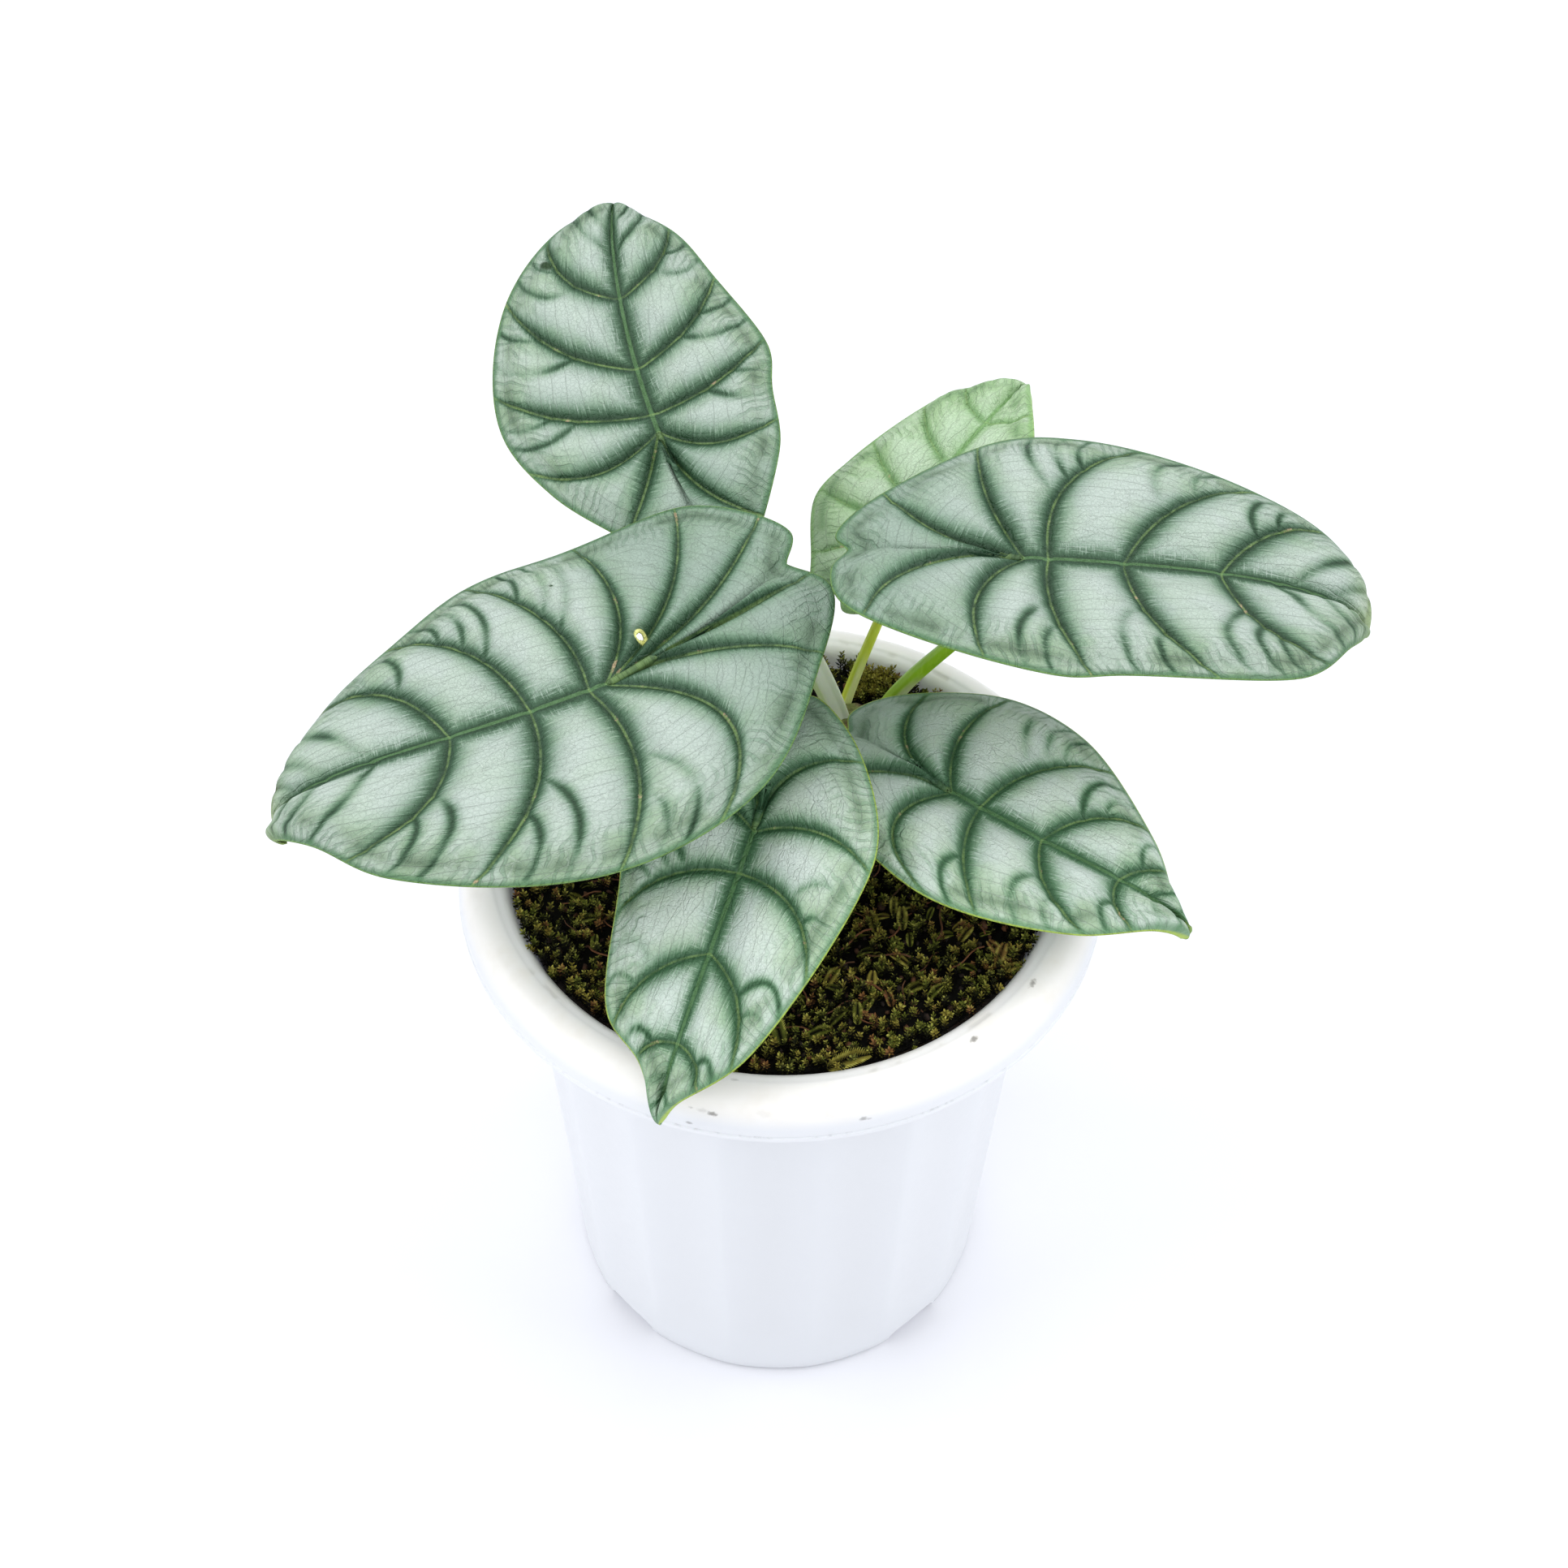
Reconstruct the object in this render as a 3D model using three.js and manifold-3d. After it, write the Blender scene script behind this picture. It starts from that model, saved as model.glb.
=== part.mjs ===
// A potted silver dragon alocasia: six peltate leaves on their stalks, a corm in mossy soil and a
// white fluted nursery pot. Millimetres, +Z up. The origin is the centre of the pot's flat
// underside, and -Y is the front. Angles round the pot are counted from the front towards +X.
import * as THREE from 'three';
import { mergeVertices } from 'three/addons/utils/BufferGeometryUtils.js';
import Module from 'manifold-3d';

const wasm = await Module();
wasm.setup();

const DEG = Math.PI / 180;
const SEAT_GAP = 0.3; // between two pieces that touch
const WELD = 1e-4;

// Pot
const POT_HEIGHT = 148;
const RIM_RADIUS = 75.5;
const CREASE_RADIUS = 67; // where the rim's roll begins, on its top
const LIP_BOTTOM = 136.4;
const BODY_TOP_RADIUS = 61;
const BODY_FOOT_RADIUS = 51.6;
const FLUTED_FROM = 1.5;
const FLUTED_TO = 126;
const FLUTES = 16;
const STEPS_PER_FLUTE = 4;
const FIRST_RIDGE = 9.4; // degrees
const FLUTE_DEPTH = 1.2;
const WALL = 1.3;
const FLOOR = 3.5;
const SHOULDER_RADIUS = 61; // inside the pot, below the rim
const SHOULDER_HEIGHT = 136;
const HEEL_RADIUS = 46; // inside the pot, where the thick foot corner ends
const HEEL_HEIGHT = 10;
const NOTCH_ANGLES = [-46.9, 43.1, 133.1, 223.1]; // degrees
const NOTCH_WIDTH = 18;
const NOTCH_HEIGHT = 3.6;
const NOTCH_BACK = 48.6; // radius of its back wall

// Soil and moss
const SOIL_EDGE = 142.4; // height where the soil meets the wall
const SOIL_RADIUS = 62;
const SOIL_CROWN = 1.8; // how much higher it is in the middle
const SOIL_SIDES = 48;
const MOSS_THICKNESS = 1.6;
const MOSS_HUMMOCK = 1.5;
const MOSS_RINGS = 9;
const MOSS_SIDES = 44;
const TUFTS = 56;
const TUFT_SIDES = 4;
const TUFT_ROOT = 1.2;
const TUFT_CLEARANCE = 5; // kept between a tuft and the corm
const GOLDEN_ANGLE = 137.508; // degrees

// Corm: the crown that the stalks stand in
const CORM_CENTRE = [15.5, 37];
const CORM_RADIUS = 11;
const CORM_BOTTOM = 118;
const CORM_TOP = 149.6;
const CORM_SIDES = 28;

// Leaves
const BLADE_THICKNESS = 1;
const QUILT = 1.6; // how far a panel between two veins stands above the veins
const MARGIN_TURN = 1.3; // how far the margin turns down
const MARGIN_FROM = 0.78;
const TIP_ROWS = 5;
const PANEL_ROWS = 3;
const COLUMNS = [0, 0.12, 0.32, 0.55, 0.78, 0.92, 1];
const HOOK_POWER = 9; // the drip tip's hook starts late along the midrib
const SPINE_STEPS = 240;
const STALK_SIDES = 10;
const STALK_STEPS = 10;
const STALK_FOOT = 138.5; // height of the stalks' lower ends, inside the corm

// A leaf's place is its attachment point, where the stalk meets the blade. From there the midrib
// runs forward for the reach to the tip and back to the notch. The outline is half-widths beside
// the midrib, [distance along it, half-width], from the notch's lobe to the tip. Each vein leaves
// the midrib at a distance and ends at a share of the margin's length from the tip; its bow is a
// share of its chord. All bends are in degrees over the reach.
const LEAVES = {
  a: {
    attach: [-30, 78, 206], yaw: 110, pitch: 13, roll: -15, reach: 76.5, notch: -32.5,
    droop: 7, tipDroop: 12, backDroop: 9, valley: 8, curl: [13, 13], twist: 5, hook: 26, sweep: -16,
    left: [[-39, 7], [-23, 17], [-5, 29], [14, 35.5], [42, 29], [64, 14]],
    right: [[-39.5, 5.5], [-18.5, 24.5], [0, 29], [12.5, 31.5], [42.5, 22.5], [58.5, 15.5]],
    veins: [
      { from: 40, left: [0.15, 0.19], right: [0.15, 0.17] },
      { from: 18.5, left: [0.29, 0.12], right: [0.31, 0.15] },
      { from: 5, left: [0.455, 0.1], right: [0.49, 0.12] },
      { from: 0, left: [0.6, 0.2], right: [0.67, 0.18] },
      { from: 0, left: [0.8, 0.06], right: [0.86, 0.1] },
    ],
    stalk: { foot: [15.5, 37.5], rise: 27, drop: 16, radii: [[2.2, 2.2], [2.9, 1.7], [1.5, 1.5]] },
  },
  b: {
    attach: [-39, 0, 203], yaw: 210, pitch: 0, roll: 1, reach: 93, notch: -52.5,
    droop: 16, tipDroop: 46, backDroop: -20, valley: 6, curl: [17, 16], twist: 0, hook: 56, sweep: -37,
    left: [[-53, 12.5], [-35, 27], [-11.5, 43.5], [18, 48], [53, 33.5], [69, 17.5]],
    right: [[-60, 4.5], [-52, 30], [-9, 44], [20, 44], [48, 32.5], [75, 18]],
    veins: [
      { from: 36.5, left: [0.22, 0.19], right: [0.155, 0.2] },
      { from: 18, left: [0.365, 0.12], right: [0.28, 0.2] },
      { from: 4, left: [0.5, 0.11], right: [0.44, 0.17] },
      { from: 0, left: [0.6, 0.3], right: [0.635, 0.13] },
      { from: 0, left: [0.835, 0.16], right: [0.8, 0.06] },
    ],
    stalk: { foot: [10, 36], rise: 24, drop: 20, radii: [[2.2, 2.2], [2.2, 2.2], [1.6, 1.6]] },
  },
  c: {
    attach: [27.5, 61.5, 194.5], yaw: 50, pitch: 15, roll: -8, reach: 54.5, notch: -23.5,
    droop: 10, tipDroop: 14, backDroop: 10, valley: 8, curl: [14, 14], twist: -1, hook: 32, sweep: 11,
    left: [[-27, 5], [-20, 12.5], [-5, 24], [9, 23.5], [31, 18], [43, 13]],
    right: [[-27, 5], [-21, 14], [-6, 23.5], [11.5, 24], [29.5, 16.5], [45, 6]],
    veins: [
      { from: 34, left: [0.15, 0.15], right: [0.16, 0.15] },
      { from: 18, left: [0.27, 0.1], right: [0.3, 0.13] },
      { from: 4, left: [0.44, 0.06], right: [0.47, 0.1] },
      { from: 0, left: [0.63, 0.1], right: [0.65, 0.15] },
      { from: 0, left: [0.83, 0.1], right: [0.85, 0.1] },
    ],
    stalk: { foot: [13.5, 43.5], rise: 18, drop: 16, radii: [[1.5, 1.5], [1.3, 1.3], [1, 1]] },
  },
  d: {
    attach: [53.5, 29.5, 214], yaw: -1, pitch: -2, roll: -5, reach: 89, notch: -39.5,
    droop: 13, tipDroop: 24, backDroop: 0, valley: 11, curl: [13, 13], twist: 8, hook: 40, sweep: 8,
    left: [[-42.5, 3.5], [-35.5, 16], [-5.5, 39], [14.5, 40], [54.5, 27.5], [85.5, 12.5]],
    right: [[-42.5, 9.5], [-38.5, 24.5], [4.5, 41], [18.5, 39], [59, 31], [76.5, 13]],
    veins: [
      { from: 45, left: [0.16, 0.11], right: [0.19, 0.21] },
      { from: 22.5, left: [0.27, 0.13], right: [0.37, 0.13] },
      { from: 5.5, left: [0.44, 0.2], right: [0.53, 0.09] },
      { from: 0, left: [0.69, 0.08], right: [0.66, 0.16] },
      { from: 0, left: [0.86, 0.12], right: [0.82, 0.2] },
    ],
    stalk: { foot: [21, 39], rise: 26, drop: 18, radii: [[2.2, 2.2], [1.9, 1.9], [1.4, 1.4]] },
  },
  e: {
    attach: [38.5, -3, 171.5], yaw: -34, pitch: -4, roll: -3, reach: 66.5, notch: -30,
    droop: 9, tipDroop: 19, backDroop: 9, valley: 10, curl: [13, 13], twist: 2, hook: 61, sweep: 19,
    left: [[-33, 4], [-29, 15], [-6.5, 32], [19, 32], [47, 14.5], [61, 0.5]],
    right: [[-33, 5.5], [-28, 19], [-4.5, 28], [12.5, 30.5], [39, 21], [55.5, 7]],
    veins: [
      { from: 43, left: [0.13, 0.1], right: [0.16, 0.22] },
      { from: 23.5, left: [0.215, 0.16], right: [0.255, 0.15] },
      { from: 7.5, left: [0.35, 0.17], right: [0.43, 0.09] },
      { from: 0, left: [0.635, 0.16], right: [0.51, 0.3] },
      { from: 0, left: [0.8, 0.25], right: [0.78, 0.2] },
    ],
    stalk: { foot: [19, 33], rise: 14, drop: 12, radii: [[2, 2], [1.8, 1.8], [1.4, 1.4]] },
  },
  f: {
    attach: [-6, -22.5, 180], yaw: 252, pitch: -16, roll: 4, reach: 71.5, notch: -36.5,
    droop: 12, tipDroop: 18, backDroop: 8, valley: 10, curl: [12, 14], twist: 3, hook: 58, sweep: -6,
    left: [[-36, 4], [-25, 16.5], [-4, 28], [11.5, 28], [49.5, 16.5], [64.5, 3]],
    right: [[-35.5, 6], [-27.5, 18.5], [-6, 36.5], [15.5, 26.5], [49.5, 17.5], [58, 7]],
    veins: [
      { from: 51, left: [0.11, 0.2], right: [0.12, 0.2] },
      { from: 30, left: [0.18, 0.16], right: [0.185, 0.15] },
      { from: 10.5, left: [0.37, 0.18], right: [0.37, 0.16] },
      { from: 0, left: [0.585, 0.15], right: [0.6, 0.18] },
      { from: 0, left: [0.8, 0.25], right: [0.8, 0.2] },
    ],
    stalk: { foot: [12.5, 31.5], rise: 16, drop: 14, radii: [[2, 2], [1.8, 1.8], [1.4, 1.4]] },
  },
};

// Closed meshes and solids
function welded(triangles) {
  const soup = new THREE.BufferGeometry();
  const corners = triangles.flat(1).flatMap((corner) => corner.toArray());
  soup.setAttribute('position', new THREE.Float32BufferAttribute(corners, 3));
  const merged = mergeVertices(soup, WELD);
  const index = merged.getIndex().array;
  const kept = [];
  for (let i = 0; i < index.length; i += 3) {
    const [p, q, r] = [index[i], index[i + 1], index[i + 2]];
    if (p !== q && q !== r && r !== p) kept.push(p, q, r);
  }
  merged.setIndex(kept);
  return merged;
}

function solidOf(geometry) {
  const plain = geometry.clone();
  plain.deleteAttribute('normal');
  plain.deleteAttribute('uv');
  const merged = mergeVertices(plain, WELD);
  const mesh = new wasm.Mesh({
    numProp: 3,
    vertProperties: new Float32Array(merged.getAttribute('position').array),
    triVerts: new Uint32Array(merged.getIndex().array),
  });
  return new wasm.Manifold(mesh);
}

function geometryOf(solid) {
  const mesh = solid.getMesh();
  const geometry = new THREE.BufferGeometry();
  geometry.setAttribute('position', new THREE.BufferAttribute(mesh.vertProperties, 3));
  geometry.setIndex(new THREE.BufferAttribute(mesh.triVerts, 1));
  return geometry;
}

function quad(a, b, c, d) {
  return [[a, b, c], [a, c, d]];
}

// A ring of points closed on itself, joined to the next ring, with a flat or pointed end each side.
function skinned(rings, bottom, top) {
  const sides = rings[0].length;
  const triangles = [];
  for (let k = 0; k < sides; k += 1) {
    const next = (k + 1) % sides;
    triangles.push([bottom, rings[0][next], rings[0][k]]);
    for (let i = 0; i + 1 < rings.length; i += 1) {
      triangles.push(...quad(rings[i][k], rings[i][next], rings[i + 1][next], rings[i + 1][k]));
    }
    const last = rings[rings.length - 1];
    triangles.push([last[k], last[next], top]);
  }
  return welded(triangles);
}

// Pot
function aroundPot(radius, degrees, z) {
  return new THREE.Vector3(radius * Math.sin(degrees * DEG), -radius * Math.cos(degrees * DEG), z);
}

// 0 on a ridge, 1 in the middle of a flute
function fluteAt(degrees) {
  const pitch = 360 / FLUTES;
  const phase = (((degrees - FIRST_RIDGE) % pitch) + pitch) % pitch;
  return Math.sin((phase / pitch) * Math.PI);
}

function bodyRadius(z) {
  return THREE.MathUtils.mapLinear(z, FLUTED_FROM, FLUTED_TO, BODY_FOOT_RADIUS, BODY_TOP_RADIUS);
}

function innerRadius(z) {
  return bodyRadius(z) - FLUTE_DEPTH - WALL;
}

function potSolid() {
  // radius, height and flute depth, from the foot up the outside, over the rim and down the inside
  const profile = [
    [BODY_FOOT_RADIUS - 1.6, 0, FLUTE_DEPTH], [BODY_FOOT_RADIUS, FLUTED_FROM, FLUTE_DEPTH],
    [bodyRadius(60), 60, FLUTE_DEPTH], [BODY_TOP_RADIUS - 0.4, FLUTED_TO - 5, FLUTE_DEPTH],
    [BODY_TOP_RADIUS + 0.4, FLUTED_TO + 4, 0],
    [62.4, 140, 0], [64.6, 144.2, 0], [68.6, 145.8, 0], [72.2, 143.6, 0], [74, 139.4, 0],
    [74.3, LIP_BOTTOM, 0], [RIM_RADIUS, LIP_BOTTOM, 0],
    [RIM_RADIUS, LIP_BOTTOM + 2, 0], [74.6, 142.8, 0], [72.6, 146, 0],
    [70, 147.6, 0], [CREASE_RADIUS + 1, POT_HEIGHT, 0], [CREASE_RADIUS, 147.6, 0],
    [64.8, 146.2, 0], [63, 143.6, 0], [SHOULDER_RADIUS, SHOULDER_HEIGHT, 0],
    [innerRadius(FLUTED_TO), FLUTED_TO, 0], [innerRadius(HEEL_HEIGHT), HEEL_HEIGHT, 0],
    [HEEL_RADIUS, FLOOR + 1, 0],
  ];
  const sides = FLUTES * STEPS_PER_FLUTE;
  const rings = profile.map(([radius, z, depth]) => Array.from({ length: sides }, (_, k) => {
    const degrees = FIRST_RIDGE + (k * 360) / sides;
    return aroundPot(radius - depth * fluteAt(degrees), degrees, z);
  }));
  const shell = skinned(rings, new THREE.Vector3(0, 0, 0), new THREE.Vector3(0, 0, FLOOR));
  return NOTCH_ANGLES.reduce((pot, degrees) => pot.subtract(notchCutter(degrees)), solidOf(shell));
}

// An arch through the foot's edge, with its crown rounded
function notchCutter(degrees) {
  const arch = new THREE.Shape();
  arch.moveTo(-NOTCH_WIDTH / 2, -1);
  arch.lineTo(NOTCH_WIDTH / 2, -1);
  arch.absellipse(0, 0, NOTCH_WIDTH / 2, NOTCH_HEIGHT, 0, Math.PI, false);
  const cutter = new THREE.ExtrudeGeometry(arch, { depth: 8, bevelEnabled: false, curveSegments: 8 });
  cutter.rotateX(Math.PI / 2); // the arch now stands up and runs towards the front
  cutter.translate(0, -NOTCH_BACK, 0);
  cutter.rotateZ(degrees * DEG);
  return solidOf(cutter);
}

// Soil and moss
function soilHeight(x, y) {
  const share = Math.hypot(x, y) / SOIL_RADIUS;
  return SOIL_EDGE + SOIL_CROWN * (1 - share * share);
}

function soilSolid() {
  const wallSide = [
    [HEEL_RADIUS - SEAT_GAP, FLOOR + 1 + SEAT_GAP],
    [innerRadius(HEEL_HEIGHT) - SEAT_GAP, HEEL_HEIGHT + SEAT_GAP],
    [innerRadius(FLUTED_TO) - SEAT_GAP, FLUTED_TO],
    [SHOULDER_RADIUS - SEAT_GAP, SHOULDER_HEIGHT], [SOIL_RADIUS, SOIL_EDGE],
  ];
  const topSide = [50, 34, 18].map((radius) => [radius, soilHeight(radius, 0)]);
  const profile = [...wallSide, ...topSide];
  const rings = profile.map(([radius, z]) => Array.from(
    { length: SOIL_SIDES }, (_, k) => aroundPot(radius, (k * 360) / SOIL_SIDES, z)));
  const bottom = new THREE.Vector3(0, 0, FLOOR + SEAT_GAP);
  return solidOf(skinned(rings, bottom, new THREE.Vector3(0, 0, soilHeight(0, 0))));
}

function hummock(x, y) {
  const east = Math.sin(0.23 * x + 1.2 * Math.sin(0.11 * y));
  const north = Math.sin(0.21 * y + 1.4 * Math.sin(0.13 * x + 1));
  return MOSS_HUMMOCK * (0.5 + 0.5 * east * north);
}

function mossSolid() {
  const edge = SOIL_RADIUS;
  const grid = (lift) => Array.from({ length: MOSS_RINGS }, (_, i) => {
    const radius = (edge * (i + 1)) / MOSS_RINGS;
    return Array.from({ length: MOSS_SIDES }, (_unused, k) => {
      const point = aroundPot(radius, (k * 360) / MOSS_SIDES, 0);
      point.z = soilHeight(point.x, point.y) + lift(point.x, point.y);
      return point;
    });
  });
  const under = grid(() => SEAT_GAP);
  const over = grid((x, y) => SEAT_GAP + MOSS_THICKNESS + hummock(x, y) * (Math.hypot(x, y) < edge - 1));
  const middle = soilHeight(0, 0) + SEAT_GAP;
  const bottom = new THREE.Vector3(0, 0, middle);
  const top = new THREE.Vector3(0, 0, middle + MOSS_THICKNESS + hummock(0, 0));
  return solidOf(skinned([...under, ...over.reverse()], bottom, top));
}

// Pointed tufts spread evenly by the golden angle, each leaning its own way
function tuftRoot(number) {
  const radius = (SOIL_RADIUS - 5) * Math.sqrt((number + 0.5) / TUFTS);
  return aroundPot(radius, number * GOLDEN_ANGLE, 0);
}

function clearOfCorm(number) {
  const root = tuftRoot(number);
  return Math.hypot(root.x - CORM_CENTRE[0], root.y - CORM_CENTRE[1]) > CORM_RADIUS + TUFT_CLEARANCE;
}

function tuft(number) {
  const root = tuftRoot(number);
  const height = 4 + 1.6 * Math.sin(number * 2.3);
  const width = 1.7 + 0.4 * Math.sin(number * 1.7);
  const cone = new THREE.ConeGeometry(width, height, TUFT_SIDES);
  cone.rotateX(Math.PI / 2);
  cone.translate(0, 0, height / 2);
  cone.rotateX(0.35 * Math.sin(number * 3.1));
  cone.rotateY(0.35 * Math.cos(number * 2.1));
  const seat = soilHeight(root.x, root.y) + MOSS_THICKNESS + hummock(root.x, root.y);
  cone.translate(root.x, root.y, seat - TUFT_ROOT);
  return solidOf(cone);
}

// Corm
function cormSolid(grow) {
  const profile = [
    [6.5, CORM_BOTTOM - grow], [CORM_RADIUS - 1, CORM_BOTTOM + 6], [CORM_RADIUS, CORM_BOTTOM + 18],
    [CORM_RADIUS - 0.4, CORM_TOP - 4.5], [CORM_RADIUS - 2.6, CORM_TOP - 1.4 + grow],
  ];
  const rings = profile.map(([radius, z]) => Array.from({ length: CORM_SIDES }, (_, k) => {
    const point = aroundPot(radius + grow, (k * 360) / CORM_SIDES, z);
    return point.add(new THREE.Vector3(...CORM_CENTRE, 0));
  }));
  const end = (z) => new THREE.Vector3(...CORM_CENTRE, z);
  return solidOf(skinned(rings, end(CORM_BOTTOM - grow), end(CORM_TOP + grow)));
}

// Blade
// The midrib as a bent line: at each distance from the attachment, its place, slope and heading.
function bentMidrib(leaf) {
  const low = leaf.notch * 1.5;
  const step = (leaf.reach * 1.05 - low) / SPINE_STEPS;
  const slope = (u) => (u > 0
    ? -DEG * (leaf.droop * u + leaf.tipDroop * u ** 3 + leaf.hook * u ** HOOK_POWER)
    : -DEG * leaf.backDroop * u);
  const heading = (u) => DEG * leaf.sweep * u;
  const direction = (u) => new THREE.Vector3(
    Math.cos(slope(u)) * Math.cos(heading(u)), Math.cos(slope(u)) * Math.sin(heading(u)), Math.sin(slope(u)));
  const places = [new THREE.Vector3()];
  for (let i = 1; i <= SPINE_STEPS; i += 1) {
    const middle = direction((low + (i - 0.5) * step) / leaf.reach);
    places.push(places[i - 1].clone().addScaledVector(middle, step));
  }
  const placeAt = (x) => {
    const at = THREE.MathUtils.clamp((x - low) / step, 0, SPINE_STEPS - 1e-6);
    const before = Math.floor(at);
    return places[before].clone().lerp(places[before + 1], at - before);
  };
  const origin = placeAt(0);
  return (x) => {
    const u = x / leaf.reach;
    return { place: placeAt(x).sub(origin), slope: slope(u), heading: heading(u) };
  };
}

// Bends a flat point of the leaf, at a distance along and beside the midrib, into its real shape.
function bladeSurface(leaf) {
  const midrib = bentMidrib(leaf);
  return (x, y, lift) => {
    const side = Math.sign(y);
    const curl = (leaf.curl[side > 0 ? 0 : 1] * DEG) / (0.5 * leaf.reach);
    const valley = leaf.valley * DEG;
    const tilt = valley - curl * Math.abs(y);
    const across = side * (Math.sin(valley) - Math.sin(tilt)) / curl - side * Math.sin(tilt) * lift;
    const up = (Math.cos(tilt) - Math.cos(valley)) / curl + (side === 0 ? 1 : Math.cos(tilt)) * lift;
    const twist = (leaf.twist * DEG * x) / leaf.reach;
    const beside = across * Math.cos(twist) - up * Math.sin(twist);
    const above = across * Math.sin(twist) + up * Math.cos(twist);
    const { place, slope, heading } = midrib(x);
    return place.add(new THREE.Vector3(
      -Math.sin(heading) * beside - Math.sin(slope) * Math.cos(heading) * above,
      Math.cos(heading) * beside - Math.sin(slope) * Math.sin(heading) * above,
      Math.cos(slope) * above,
    ));
  };
}

// Rows run along the veins from the midrib to the margin, with PANEL_ROWS steps from vein to vein.
function leafRows(leaf) {
  const marks = [
    { from: leaf.reach, left: [0, 0], right: [0, 0] }, ...leaf.veins,
    { from: 0, left: [1, 0], right: [1, 0] },
  ];
  const mix = THREE.MathUtils.lerp;
  const rows = [];
  for (let i = 0; i + 1 < marks.length; i += 1) {
    const steps = i === 0 ? TIP_ROWS : PANEL_ROWS;
    const [here, next] = [marks[i], marks[i + 1]];
    for (let k = 0; k < steps; k += 1) {
      const share = k / steps;
      const side = (name) => [0, 1].map((n) => mix(here[name][n], next[name][n], share));
      rows.push({
        from: mix(here.from, next.from, share), left: side('left'), right: side('right'),
        bulge: Math.sin(Math.PI * share),
      });
    }
  }
  rows.push({ ...marks[marks.length - 1], bulge: 0 });
  return rows;
}

function marginCurve(leaf, side) {
  const sign = side === 'left' ? 1 : -1;
  const points = [
    [leaf.notch, 0], ...leaf[side].map(([along, width]) => [along, sign * width]), [leaf.reach, 0],
  ];
  const tipFirst = points.reverse().map(([x, y]) => new THREE.Vector3(x, y, 0));
  return new THREE.CatmullRomCurve3(tipFirst, false, 'centripetal');
}

// The flat point at a share of the way along one row, which bows back towards the leaf's base.
function rowPoint(margin, row, side, share) {
  const [marginShare, bow] = row[side];
  const start = new THREE.Vector3(row.from, 0, 0);
  const end = margin.getPointAt(marginShare);
  const chord = end.clone().sub(start);
  const turn = side === 'left' ? 1 : -1;
  const back = new THREE.Vector3(-chord.y, chord.x, 0).multiplyScalar(turn * 2 * bow);
  const control = start.clone().lerp(end, 0.5).add(back);
  const curve = new THREE.QuadraticBezierCurve3(start, control, end);
  return curve.getPoint(share);
}

function reliefAt(bulge, share) {
  const fromMidrib = THREE.MathUtils.smoothstep(share, 0, 0.3);
  const toMargin = 1 - THREE.MathUtils.smoothstep(share, 0.75, 1);
  const turn = Math.max(0, (share - MARGIN_FROM) / (1 - MARGIN_FROM));
  return QUILT * bulge * fromMidrib * toMargin - MARGIN_TURN * turn * turn;
}

function bladeGeometry(leaf) {
  const surface = bladeSurface(leaf);
  const rows = leafRows(leaf);
  const triangles = [];
  for (const side of ['left', 'right']) {
    const margin = marginCurve(leaf, side);
    const face = (drop) => rows.map((row) => COLUMNS.map((share) => {
      const flat = rowPoint(margin, row, side, share);
      const beside = Math.abs(flat.y) < WELD ? 0 : flat.y;
      return surface(flat.x, beside, reliefAt(row.bulge, share) - drop);
    }));
    const [over, under] = [face(0), face(BLADE_THICKNESS)];
    const last = COLUMNS.length - 1;
    for (let i = 0; i + 1 < rows.length; i += 1) {
      for (let j = 0; j < last; j += 1) {
        const upper = [over[i][j], over[i][j + 1], over[i + 1][j + 1], over[i + 1][j]];
        const lower = [under[i][j], under[i][j + 1], under[i + 1][j + 1], under[i + 1][j]];
        triangles.push(...facing(quad(...upper), side === 'left'));
        triangles.push(...facing(quad(...lower), side !== 'left'));
      }
      const rim = [over[i][last], under[i][last], under[i + 1][last], over[i + 1][last]];
      triangles.push(...facing(quad(...rim), side === 'left'));
    }
  }
  return welded(triangles);
}

function facing(triangles, forward) {
  return forward ? triangles : triangles.map(([a, b, c]) => [a, c, b]);
}

function leafEuler(leaf) {
  return new THREE.Euler(leaf.roll * DEG, -leaf.pitch * DEG, leaf.yaw * DEG, 'ZYX');
}

// Stalk
function stalkCurve(leaf) {
  const normal = new THREE.Vector3(0, 0, 1).applyEuler(leafEuler(leaf));
  const head = new THREE.Vector3(...leaf.attach).addScaledVector(normal, -BLADE_THICKNESS - SEAT_GAP);
  const foot = new THREE.Vector3(...leaf.stalk.foot, STALK_FOOT);
  const rise = foot.clone().setZ(STALK_FOOT + leaf.stalk.rise);
  const drop = head.clone().addScaledVector(normal, -leaf.stalk.drop);
  return new THREE.CubicBezierCurve3(foot, rise, drop, head);
}

// Its section is an ellipse whose half-sizes change from the foot through the sheath to the head.
function stalkGeometry(leaf, grow) {
  const curve = stalkCurve(leaf);
  const { normals, binormals, tangents } = curve.computeFrenetFrames(STALK_STEPS, false);
  const [foot, sheath, head] = leaf.stalk.radii;
  const half = (n, share) => (share < 0.3
    ? THREE.MathUtils.lerp(foot[n], sheath[n], share / 0.3)
    : THREE.MathUtils.lerp(sheath[n], head[n], (share - 0.3) / 0.7)) + grow;
  const centres = tangents.map((_, i) => curve.getPointAt(i / STALK_STEPS));
  centres[0].z -= grow;
  const rings = centres.map((centre, i) => Array.from({ length: STALK_SIDES }, (_, k) => {
    const angle = (k * 2 * Math.PI) / STALK_SIDES;
    const share = i / STALK_STEPS;
    return centre.clone()
      .addScaledVector(normals[i], Math.cos(angle) * half(0, share))
      .addScaledVector(binormals[i], Math.sin(angle) * half(1, share));
  }));
  return skinned(rings, centres[0], centres[STALK_STEPS]);
}

// The assembly
const group = new THREE.Group();

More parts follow.
